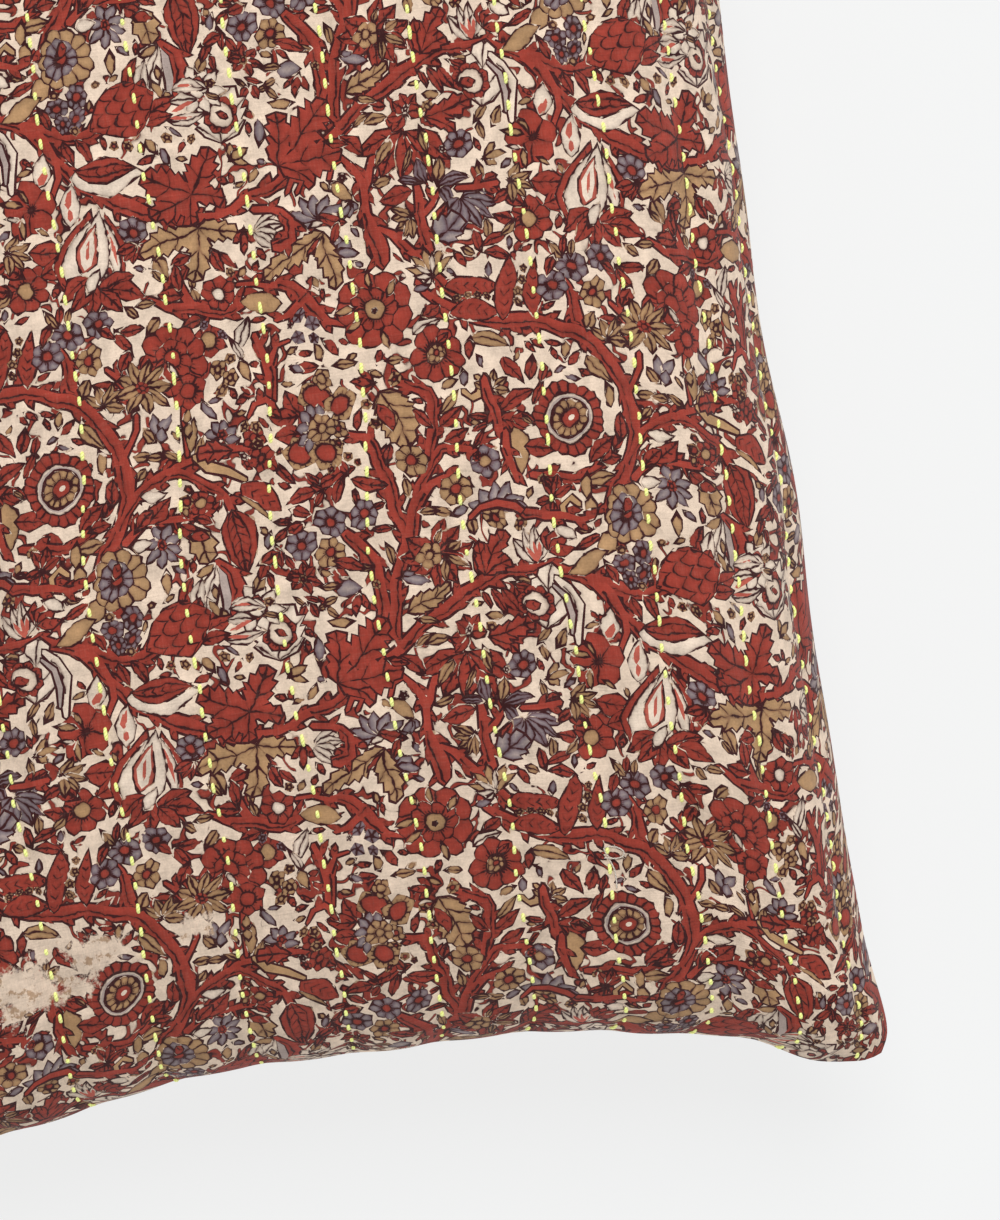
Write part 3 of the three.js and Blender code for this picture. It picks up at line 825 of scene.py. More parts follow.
@dataclass
class StitchRows:
    """The rows of hand-sewn running stitch, which run along the panel."""

    rows: int = 13
    apart: float = 305 / 13
    pitch: float = 6.4
    length: float = 2.9
    bow: float = 4.5  # how far the middle row bows towards the edge that shows
    wander: tuple[tuple[float, float], ...] = ((0.7, 47), (0.4, 19), (0.2, 8))  # swing and reach
    seed: int = 11
    half_length: float = 305.0
    bend: Array = field(init=False)
    start: Array = field(init=False)

    def __post_init__(self) -> None:
        """Draws each row's own wander and first needle hole."""
        rng = np.random.default_rng(self.seed)
        self.bend = rng.uniform(0, 2 * np.pi, (self.rows, 3))
        self.start = rng.uniform(0, self.pitch, self.rows)

    def middle(self, row: Array, u: Array) -> Array:
        """Gives how far across the panel a row runs.

        Args:
            row: numbers of the rows, from 0 at the edge that shows.
            u: places along the panel.

        Returns:
            The rows' v at those places.
        """
        outermost = (self.rows - 1) / 2
        k = row - outermost
        level = self.apart * k - self.bow * (1 - (k / outermost) ** 2)
        strayed = soft_step(u, -235, -195) - soft_step(u, -165, -125)  # as in the photograph
        level = level + 1.5 * strayed - 2.2 * soft_step(u, -150, -105)
        for (swing, reach), phase in zip(self.wander, self.bend[row].T, strict=True):
            level = level + swing * np.sin(u / reach + phase)
        return level

    def nearest(self, u: Array, v: Array) -> tuple[Array, Array]:
        """Finds the row next to each place.

        Args:
            u: places along the panel.
            v: places across it.

        Returns:
            The number of the nearest row, and the signed distance from it.
        """
        shape = np.shape(u)
        u, v = np.ravel(u), np.ravel(v)
        off = np.stack([v - self.middle(np.full(len(u), k), u) for k in range(self.rows)])
        row = np.abs(off).argmin(axis=0)
        return row.reshape(shape), off[row, np.arange(len(u))].reshape(shape)

    def stitches(self, row: int, side: Side) -> Array:
        """Gives where the stitches of a row come up and go down.

        Args:
            row: the row.
            side: the panel, since each was sewn on its own.

        Returns:
            One line for each stitch: u of both needle holes, and a sideways slip.
        """
        rng = np.random.default_rng([self.seed, row, int(side) + 2])
        first = np.arange(self.start[row] - self.half_length, self.half_length - self.length, self.pitch)
        first = first + rng.normal(0, 0.28, len(first))
        last = first + self.length + rng.normal(0, 0.38, len(first))
        return np.stack([first, last, rng.normal(0, 0.12, len(first))], axis=1)


@dataclass(frozen=True)
class DrawnSeam:
    """How far one seam is drawn in from the line between its corner tips, in mm.

    It steps in by ear between two distances from a tip, and bows in further towards its middle.
    """

    ear: float
    ear_from: float
    ear_to: float
    bow: float
    power: float

    def depth(self, from_middle: Array, half: float) -> Array:
        """Gives the draw.

        Args:
            from_middle: distances along the line from its middle.
            half: half the line's length.

        Returns:
            The distances from the line to the seam.
        """
        from_tip = np.maximum(half - np.abs(from_middle), 0)
        bow = self.bow * np.sin(np.pi / 2 * from_tip / half) ** self.power
        return self.ear * soft_step(from_tip, self.ear_from, self.ear_to) + bow


@dataclass
class FilledForm:
    """The form of the filled pillow: where each place of the cut cloth lies, in mm."""

    cut: tuple[float, float] = (305.0, 152.5)  # half of a panel, seam to seam
    tips: tuple[float, float] = (299.0, 140.0)  # half the distances between the corners' tips
    seam_height: float = 50.0
    crown: float = 54.0  # from the seam's height to the top
    roundness: float = 0.52
    tip_radius: float = 9.0
    ear_drop: float = 5.0  # how much lower the corners hang
    end_wave: float = 88.0
    side_waves: tuple[float, float] = (118.0, 67.0)
    end_seam: DrawnSeam = DrawnSeam(7.5, 17, 38, 13.5, 1)
    side_seam: DrawnSeam = DrawnSeam(3.2, 6, 36, 6.4, 1.6)
    rows: StitchRows = field(default_factory=StitchRows)

    def share(self, x: Array, y: Array) -> Array:
        """Gives the share of the full crown at places in plan from -1 to 1."""
        return (np.clip(1 - np.abs(x) ** 6, 0, 1) * np.clip(1 - np.abs(y) ** 4, 0, 1)) ** self.roundness

    def spread(self, cloth: Array, axis: int, full: Array) -> Array:
        """Turns a share of the way over the cloth into one in plan, with the arc's length kept.

        Args:
            cloth: from -1 to 1, seam to seam.
            axis: 0 along the pillow, 1 across it.
            full: how much of the crown there is, from 0 to 1.

        Returns:
            The places in plan, from -1 to 1.
        """
        plan = 1 - (1 - np.linspace(0, 1, 3001)) ** 2
        rise = self.crown * (self.share(plan, 0 * plan) if axis == 0 else self.share(0 * plan, plan))
        reach = self.tips[axis] - (self.end_seam, self.side_seam)[axis].depth(0, self.tips[1 - axis])
        arc = np.concatenate([[0], np.cumsum(np.hypot(np.diff(plan) * reach, np.diff(rise)))])
        curved = np.interp(np.abs(cloth), arc / arc[-1], plan)
        return np.sign(cloth) * (np.abs(cloth) * (1 - full) + curved * full)

    def drifted(self, u: Array, v: Array) -> Array:
        """Moves places across a little, since the cover was sewn and filled a bit unevenly.

        Args:
            u: places along the cut panel.
            v: places across it.

        Returns:
            Their v on an evenly laid panel; the seam itself stays.
        """
        slipped = 0.05 * v + 1.8
        v = v - slipped * (1 - soft_step(np.abs(v), 75, 142))
        spread = 0.035 * soft_step(np.abs(u), 270, 305) * np.clip(1 - (v / self.cut[1]) ** 4, 0, None)
        return v * (1 + spread)

    def end_slack(self, x: Array, y: Array) -> Array:
        """Gives how far an end seam bulges out, in the waves that the photograph shows.

        Args:
            x: places in plan along the pillow, from -1 to 1.
            y: places across it, from -1 to 1.

        Returns:
            The distances, in mm.
        """
        across = -np.sign(x) * y * self.tips[1]
        wave = 0.6 + 0.9 * np.cos(2 * np.pi * (across + 98) / self.end_wave) + 0.04 * np.maximum(across, 0)
        return wave * np.abs(x) ** 8 * soft_step(self.tips[1] * (1 - np.abs(y)), 3, 22)

    def skin(self, u: Array, v: Array, side: Side) -> Array:
        """Gives where cloth lies on the evenly filled pillow.

        Args:
            u: places along the cut panel.
            v: places across it.
            side: which panel.

        Returns:
            The points, in mm.
        """
        cloth_x, cloth_y = u / self.cut[0], v / self.cut[1]
        x = self.spread(cloth_x, 0, self.share(0 * cloth_x, cloth_y))
        y = self.spread(cloth_y, 1, self.share(cloth_x, 0 * cloth_y))
        reach_x = self.tips[0] - self.end_seam.depth(y * self.tips[1], self.tips[1]) + self.end_slack(x, y)
        reach_y = self.tips[1] - self.side_seam.depth(x * self.tips[0], self.tips[0])
        off = self.rows.nearest(u, 2 * v - self.drifted(u, v))[1]
        from_tip = self.tips[1] * (1 - np.abs(y))
        tuck = np.exp(-((off / 5) ** 2)) * np.abs(x) ** 12 * soft_step(from_tip, 20, 50)
        wide = x * (reach_x - 0.9 * tuck)
        long, short = self.side_waves
        slack = np.sin(2 * np.pi * wide / long + 0.6) + 0.6 * np.sin(2 * np.pi * wide / short)
        slack *= soft_step(self.tips[0] - np.abs(wide), 20, 70) * np.abs(y) ** 6
        deep = y * (reach_y - 0.8 * slack)
        edge_x = np.clip((np.abs(wide) - self.tips[0]) / self.tip_radius + 1, 0, 1)
        edge_y = np.clip((np.abs(deep) - self.tips[1]) / self.tip_radius + 1, 0, 1)
        wide = wide - np.sign(wide) * self.tip_radius * edge_x * (1 - np.sqrt(1 - edge_y**2 / 2))
        deep = deep - np.sign(deep) * self.tip_radius * edge_y * (1 - np.sqrt(1 - edge_x**2 / 2))
        height = self.seam_height - self.ear_drop * np.abs(x) ** 10 * np.abs(y) ** 5
        height = np.maximum(height + int(side) * self.crown * self.share(x, y), 0)
        return np.stack([wide, deep, height], axis=-1)


@dataclass
class StuffedCover:
    """The cover once it is stuffed: a cloth simulation on the filled form."""

    form: FilledForm = field(default_factory=FilledForm)
    cells: tuple[int, int] = (104, 52)
    pressure: float = 4.0
    frames: int = 20
    ease: tuple[float, float] = (1.015, 1.05)  # how loose the cloth is, along and across
    slack: float = 0.93  # share of the full height at which it starts
    cap: float = 7.0  # the most that it may move, mm
    channel: tuple[float, float] = (1.6, 4.5)  # depth and half width of a sewn channel, mm
    pucker: float = 0.20
    billow: float = 0.3
    nets: dict[Side, Array] = field(default_factory=dict)

    def build(self, simulate: bool) -> None:
        """Lays both panels on the form and lets the filling press them out.

        Args:
            simulate: False keeps the evenly filled form.
        """
        along = np.linspace(-self.form.cut[0], self.form.cut[0], self.cells[0] + 1)
        across = np.linspace(-self.form.cut[1], self.form.cut[1], self.cells[1] + 1)
        u, v = np.meshgrid(along, across, indexing="ij")
        self.nets = {side: self.form.skin(u, v, side) for side in Side}
        if simulate:
            for net in self.nets.values():
                level = net[..., 2] - self.form.seam_height
                net[..., 2] = self.form.seam_height + level * np.where(level > 0, self.slack, 1)
            self.press(u, v)

    def press(self, u: Array, v: Array) -> None:
        """Runs the cloth under pressure, with the flat cut panels as its rest shape.

        Args:
            u: each grid point's place along the cut panel.
            v: its place across.
        """
        n, m = u.shape
        number = {Side.FRONT: np.arange(n * m).reshape(n, m)}
        back = number[Side.FRONT].copy()
        inside = (slice(1, -1), slice(1, -1))
        back[inside] = n * m + np.arange((n - 2) * (m - 2)).reshape(n - 2, m - 2)
        number[Side.BACK] = back
        upper, lower = self.nets[Side.FRONT], self.nets[Side.BACK][inside]
        start = np.vstack([upper.reshape(-1, 3), lower.reshape(-1, 3)])
        flat = np.stack([u * self.ease[0], v * self.ease[1], 0 * u], axis=-1)
        flat = np.vstack([flat.reshape(-1, 3), flat[inside].reshape(-1, 3)])
        faces = []
        for side in Side:
            g = number[side]
            quads = np.stack([g[:-1, :-1], g[1:, :-1], g[1:, 1:], g[:-1, 1:]], axis=-1).reshape(-1, 4)
            faces.append(quads if side is Side.FRONT else quads[:, ::-1])
        mesh = bpy.data.meshes.new("cover_net")
        mesh.from_pydata((start * MM).tolist(), [], np.vstack(faces).tolist())
        net = bpy.data.objects.new("cover_net", mesh)
        bpy.context.scene.collection.objects.link(net)
        net.shape_key_add(name="filled")
        rest = net.shape_key_add(name="cut")
        rest.data.foreach_set("co", (flat * MM).ravel())
        seam = net.vertex_groups.new(name="seam")
        edge = np.ones((n, m), bool)
        edge[inside] = False
        seam.add(number[Side.FRONT][edge].tolist(), 1.0, "REPLACE")
        settings = net.modifiers.new("cloth", "CLOTH").settings
        settings.vertex_group_mass = seam.name
        settings.rest_shape_key = rest
        settings.quality = 6
        settings.mass = 0.12
        settings.air_damping = 2.0
        settings.tension_stiffness = settings.compression_stiffness = 18
        settings.shear_stiffness = 6
        settings.bending_stiffness = 0.4
        settings.effector_weights.gravity = 0
        settings.use_pressure = True
        settings.uniform_pressure_force = self.pressure
        scene = bpy.context.scene
        for number_of_frame in range(1, self.frames + 1):
            scene.frame_set(number_of_frame)
        done = net.evaluated_get(bpy.context.evaluated_depsgraph_get()).data
        after = np.empty(len(start) * 3, np.float32)
        done.vertices.foreach_get("co", after)
        after = after.reshape(-1, 3) / MM
        scene.frame_set(1)
        bpy.data.objects.remove(net, do_unlink=True)
        bpy.data.meshes.remove(mesh)
        shift = after - start
        far = np.linalg.norm(shift, axis=1, keepdims=True)
        log.info("cloth wants to move %.1f mm on average, %.1f at most", far.mean(), far.max())
        shift *= self.cap * np.tanh(far / self.cap) / np.maximum(far, 1e-6)
        moved = start + shift
        moved[:, 2] = np.maximum(moved[:, 2], 0)
        for side in Side:
            self.nets[side] = moved[number[side]]

    def even(self, u: Array, v: Array, side: Side) -> Array:
        """Gives the cover's smooth surface at places on the cloth.

        Args:
            u: places along the cut panel.
            v: places across it.
            side: which panel.

        Returns:
            The points, in mm.
        """
        net = self.nets[side]
        wide = np.pad(net, ((2, 2), (2, 2), (0, 0)), mode="reflect", reflect_type="odd")
        cells = np.array(net.shape[:2]) - 1
        spots, weights = [], []
        for value, half, count in zip((u, v), self.form.cut, cells, strict=True):
            at = (np.clip(value / half, -1, 1) + 1) / 2 * count
            base = np.minimum(at.astype(int), count - 1)
            f = at - base
            cubic = [(1 - f) ** 3, 3 * f**3 - 6 * f**2 + 4, -3 * f**3 + 3 * f**2 + 3 * f + 1, f**3]
            spots.append(base)
            weights.append(np.stack(cubic) / 6)
        out = np.zeros((*np.shape(u), 3))
        for i in range(4):
            for j in range(4):
                weight = (weights[0][i] * weights[1][j])[..., None]
                out += weight * wide[spots[0] + 1 + i, spots[1] + 1 + j]
        return out

    def surface(self, u: Array, v: Array, side: Side) -> Array:
        """Gives the cover's surface with the sewn channels pressed into it.

        Args:
            u: places along the cut panel.
            v: places across it.
            side: which panel.

        Returns:
            The points, in mm.
        """
        at = self.form.drifted(u, v)
        even = self.even(u, at, side)
        e = 1.5
        along = self.even(u + e, at, side) - self.even(u - e, at, side)
        across = self.even(u, at + e, side) - self.even(u, at - e, side)
        normal = np.cross(along, across) * int(side)
        normal /= np.linalg.norm(normal, axis=-1, keepdims=True)
        row, off = self.form.rows.nearest(u, v)
        near = self.form.cut[0] - np.abs(u), self.form.cut[1] - np.abs(v)
        hold = soft_step(np.minimum(*near), 0, 9)
        beat = (u - self.form.rows.start[row] - self.form.rows.length / 2) / self.form.rows.pitch
        pucker = self.pucker * np.cos(2 * np.pi * beat) * np.exp(-np.abs(off) / 3.0)
        billow = self.billow * np.sin(u / 8.5 + 2.2 * np.sin(v / 23))
        billow = billow * np.sin(v / 14 + 1.7 * np.sin(u / 31))
        deep, half = self.channel
        depth = deep * np.exp(-((np.abs(off) / half) ** 1.3)) - 0.35 + pucker + billow
        out = even - normal * (depth * hold)[..., None]
        out[..., 2] = np.maximum(out[..., 2], 0)
        return out

    def laid(self, u: Array, v: Array, side: Side) -> tuple[Array, Array]:
        """Gives points and outward normals of the cover, with the seam allowance turned in.

        Args:
            u: places along the panel, over the seam too.
            v: places across it, over the seam too.
            side: which panel.

        Returns:
            The points and the normals.
        """
        half_u, half_v = self.form.cut
        inner_u, inner_v = np.clip(u, -half_u, half_u), np.clip(v, -half_v, half_v)
        e = 0.4
        point = self.surface(inner_u, inner_v, side)
        a = np.clip(inner_u + e, None, half_u), np.clip(inner_u - e, -half_u, None)
        b = np.clip(inner_v + e, None, half_v), np.clip(inner_v - e, -half_v, None)
        along = self.surface(a[0], inner_v, side) - self.surface(a[1], inner_v, side)
        across = self.surface(inner_u, b[0], side) - self.surface(inner_u, b[1], side)
        normal = np.cross(along, across) * int(side)
        size = np.linalg.norm(normal, axis=-1, keepdims=True)
        normal = np.where(size > 1e-9, normal / np.maximum(size, 1e-9), (0, 0, int(side)))
        point[..., 0] += inner_u - u
        point[..., 1] += inner_v - v
        return point, normal


@dataclass
class PrintedCloth:
    """The flat printed cloth, cut into the patches of its print."""

    patches: list[Patch]
    rows: StitchRows
    repeat: float = 128.0
    cut: tuple[float, float] = (305.0, 152.5)
    turned_in: float = 3.0
    edge_step: float = 3.8  # between points along the seam
    row_step: float = 4.7  # between points along a stitch row
    ground_step: float = 7.6  # between points elsewhere
    beside_row: float = 2.2  # from a stitch row to the points on both sides of it
    across_repeat: tuple[float, float] = (2.6, -126.8)  # u and v of one repeat to the right
    down_repeat: tuple[float, float] = (-129.0, 2.4)  # and of one repeat down
    corner: tuple[float, float] = (-114.6, -3.1)  # where a chart's upper left corner lies
    points: Array = field(init=False)
    triangles: Array = field(init=False)
    spot: Array = field(init=False)
    form: Array = field(init=False)
    inks: Array = field(init=False)

    @property
    def way(self) -> Array:
        """Gives the way over the cloth for a mm of the chart, to the right and down."""
        return np.array([self.across_repeat, self.down_repeat]) / self.repeat

    def waver(self, chart: Array) -> Array:
        """Gives how far the hand-cut block strays from the drawing, alike in every repeat.

        Args:
            chart: places of the chart.

        Returns:
            How far it strays to the right and down there, in mm.
        """
        s, t = (chart * 2 * np.pi / self.repeat).T
        right = 0.40 * np.sin(5 * s + 9 * t + 1) + 0.25 * np.sin(13 * t - 7 * s)
        down = 0.40 * np.sin(10 * s - 4 * t) + 0.25 * np.sin(12 * s + 8 * t + 2)
        right += 0.1 * np.sin(31 * t + 17 * s)
        down += 0.1 * np.sin(29 * s - 19 * t)
        return np.stack([right, down], axis=1)

    def on_cloth(self, chart: Array) -> Array:
        """Turns places of the chart, s and t, into places on the cloth, u and v."""
        return (chart + self.waver(chart)) @ self.way + self.corner

    def on_chart(self, cloth: Array) -> Array:
        """Turns places on the cloth into places of the chart.

        Args:
            cloth: places on the cloth, u and v.

        Returns:
            Their s and t, found by stepping back what the block strays.
        """
        printed = (cloth - self.corner) @ np.linalg.inv(self.way)
        chart = printed
        for _ in range(4):
            chart = printed - self.waver(chart)
        return chart

    def build(self) -> None:
        """Prints the repeats over the cloth and cuts it along all that shows."""
        points, triangles, owner, copies = self.overlay()
        edges = np.sort(triangles[:, [0, 1, 1, 2, 2, 0]].reshape(-1, 2), axis=1)
        own = np.repeat(owner, 3)
        order = np.lexsort((edges[:, 1], edges[:, 0]))
        edges, own = edges[order], own[order]
        pair = np.flatnonzero((edges[1:] == edges[:-1]).all(axis=1))
        kept = edges[pair[own[pair] != own[pair + 1]]]
        tree = BVHTree.FromPolygons(np.c_[points, np.zeros(len(points))].tolist(), triangles.tolist())
        kept = self.straighten(points, kept)
        used, kept = np.unique(kept, return_inverse=True)
        self.cut_up(points[used], kept.reshape(-1, 2))
        middles = self.points[self.triangles].mean(axis=1)
        found = [tree.find_nearest((x, y, 0))[2] for x, y in middles.tolist()]
        self.dress(owner[found], copies)

    def straighten(self, points: Array, edges: Array, slack: float = 0.11) -> Array:
        """Leaves out the points at which a line of edges hardly bends.

        Args:
            points: places on the cloth.
            edges: pairs of them.
            slack: how far a left-out point may lie beside the line, in mm.

        Returns:
            The edges that are left.
        """
        near: dict[int, set[int]] = {}
        for a, b in edges.tolist():
            near.setdefault(a, set()).add(b)
            near.setdefault(b, set()).add(a)
        place = points.tolist()
        for middle in list(near):
            if len(near[middle]) != 2:
                continue
            a, b = near[middle]
            (x0, y0), (x1, y1), (x, y) = place[a], place[b], place[middle]
            chord = math.hypot(x1 - x0, y1 - y0)
            area = abs((x1 - x0) * (y - y0) - (x - x0) * (y1 - y0))
            if b not in near[a] and chord < 6 and area < slack * chord:
                near[a].symmetric_difference_update((middle, b))
                near[b].symmetric_difference_update((middle, a))
                near[middle] = set()
        return np.array([(a, b) for a, others in near.items() for b in others if a < b])

    def overlay(self) -> tuple[Array, Array, Array, list[tuple[int, float, float]]]:
        """Lays every patch of every repeat over the cloth.

        Returns:
            Points and triangles of the overlay, each triangle's topmost copy of a patch (-1 is
            bare ground), and each copy's patch number and shift over the chart.
        """
        reach = np.array(self.cut) + self.turned_in
        frame_points = np.array([(-1, -1), (1, -1), (1, 1), (-1, 1)]) * reach
        corners = self.on_chart(frame_points) / self.repeat
        low = np.floor(corners.min(axis=0)).astype(int) - 1
        high = np.ceil(corners.max(axis=0)).astype(int) + 1
        rims, copies = [frame_points], []
        for number, patch in enumerate(self.patches):
            for i in range(low[0], high[0]):
                for j in range(low[1], high[1]):
                    shift = i * self.repeat, j * self.repeat
                    rim = self.on_cloth(patch.rim + shift)
                    if (rim.max(axis=0) > -reach).all() and (rim.min(axis=0) < reach).all():
                        ahead = np.roll(rim, -1, axis=0)
                        left = (rim[:, 0] * ahead[:, 1] - rim[:, 1] * ahead[:, 0]).sum() > 0
                        rims.append(rim if left else rim[::-1])
                        copies.append((number, *shift))
        ends = np.cumsum([len(rim) for rim in rims])
        faces = [list(range(end - len(rim), end)) for rim, end in zip(rims, ends, strict=True)]
        flat = [Vector(p) for p in np.vstack(rims).tolist()]
        points, _, triangles, _, _, covers = delaunay_2d_cdt(flat, [], faces, 0, 1e-4, True)
        points, triangles = np.array([p[:] for p in points]), np.array(triangles)
        inside = np.array([0 in cover for cover in covers])
        owner = np.array([max(cover, default=0) - 1 for cover in covers])
        return points, triangles[inside], owner[inside], copies

    def cut_up(self, points: Array, edges: Array) -> None:
        """Cuts the cloth along the print's edges, its seam line and its stitch rows.

        Args:
            points: places on the cloth.
            edges: pairs of them to cut along.
        """
        reach = np.array(self.cut) + self.turned_in
        loops = []
        for half in (reach, np.array(self.cut)):
            counts = [round(2 * side / self.edge_step) + 1 for side in half]
            a, b = (np.linspace(-side, side, n)[:-1] for side, n in zip(half, counts, strict=True))
            loops.append(np.vstack([np.c_[a, 0 * a - half[1]], np.c_[0 * b + half[0], b],
                                    np.c_[-a, 0 * a + half[1]], np.c_[0 * b - half[0], -b]]))
        start, extra_edges = len(points), []
        for loop in loops:
            ring = start + np.arange(len(loop))
            extra_edges.append(np.stack([ring, np.roll(ring, -1)], axis=1))
            start += len(loop)
        u = np.arange(-self.cut[0] + 3, self.cut[0], self.ground_step)
        v = np.arange(-self.cut[1] + 3, self.cut[1], self.ground_step)
        grid = np.stack(np.meshgrid(u, v, indexing="ij"), axis=-1).reshape(-1, 2)
        grid = grid[np.abs(self.rows.nearest(grid[:, 0], grid[:, 1])[1]) > 3.5]
        run = np.arange(-self.cut[0] + 1.6, self.cut[0], self.row_step)
        beside = (-self.beside_row, 0, self.beside_row)
        rows = [self.rows.middle(k, run) for k in range(self.rows.rows)]
        lines = np.vstack([np.c_[run, row + d] for row in rows for d in beside])
        lines = lines[np.abs(lines[:, 1]) < self.cut[1] - 1]
        flat = [Vector(p) for p in np.vstack([points, *loops, grid, lines]).tolist()]
        joined = np.vstack([edges, *extra_edges])
        made = delaunay_2d_cdt(flat, joined.tolist(), [], 0, 1e-3, False)
        self.points = np.array([p[:] for p in made[0]])
        triangles = np.array(made[2])
        corners = self.points[triangles]
        a, b = corners[:, 1] - corners[:, 0], corners[:, 2] - corners[:, 0]
        self.triangles = triangles[np.abs(a[:, 0] * b[:, 1] - a[:, 1] * b[:, 0]) > 1e-6]

    def dress(self, owner: Array, copies: list[tuple[int, float, float]]) -> None:
        """Gives each triangle's corners the place, form and inks of the patch on top.

        Args:
            owner: each triangle's copy of a patch, or -1.
            copies: each copy's patch number and shift over the chart.
        """
        shape = (*self.triangles.shape, 3)
        self.spot, self.form, self.inks = np.zeros(shape), np.ones(shape), np.zeros(shape)
        corners = self.points[self.triangles]
        order = np.argsort(owner, kind="stable")
        marks = np.searchsorted(owner[order], np.arange(len(copies) + 1))
        for copy, (number, *shift) in enumerate(copies):
            held = order[marks[copy] : marks[copy + 1]]
            if not len(held):
                continue
            patch = self.patches[number]
            chart = self.on_chart(corners[held].reshape(-1, 2)) - shift
            own, form = patch.local(chart)
            self.spot[held, :, :2] = own.reshape(len(held), 3, 2)
            self.spot[held, :, 2] = int(patch.mark)
            self.form[held] = form.reshape(len(held), 3, 3)
            self.inks[held, :, :2] = int(patch.ink), int(patch.second)


def put_attribute(mesh: Mesh, name: str, domain: str, rows: Array) -> None:
    """Stores three numbers for each point or corner of a mesh."""
    layer = mesh.attributes.new(name, "FLOAT_VECTOR", domain)
    layer.data.foreach_set("vector", np.ascontiguousarray(rows, np.float32).ravel())


def make_piece(
    name: str, points: Array, triangles: Array, material: Material,
    normals: Array | None = None,
) -> Object:
    """Makes one smooth-shaded piece of the pillow.

    Args:
        name: the piece's name.
        points: its points, in mm.
        triangles: three point numbers each.
        material: its material.
        normals: its points' normals, if they aren't to be worked out from the triangles.

    Returns:
        The piece, which rides on the root body.
    """
    mesh = bpy.data.meshes.new(name)
    mesh.vertices.add(len(points))
    mesh.vertices.foreach_set("co", (points * MM).astype(np.float32).ravel())
    mesh.loops.add(triangles.size)
    mesh.loops.foreach_set("vertex_index", triangles.astype(np.int32).ravel())
    mesh.polygons.add(len(triangles))
    mesh.polygons.foreach_set("loop_start", np.arange(0, triangles.size, 3, dtype=np.int32))
    mesh.update(calc_edges=True)
    mesh.shade_smooth()
    if normals is not None:
        mesh.normals_split_custom_set_from_vertices(normals.tolist())
    mesh.materials.append(material)
    piece = bpy.data.objects.new(name, mesh)
    bpy.context.scene.collection.objects.link(piece)
    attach(piece, "root")
    return piece


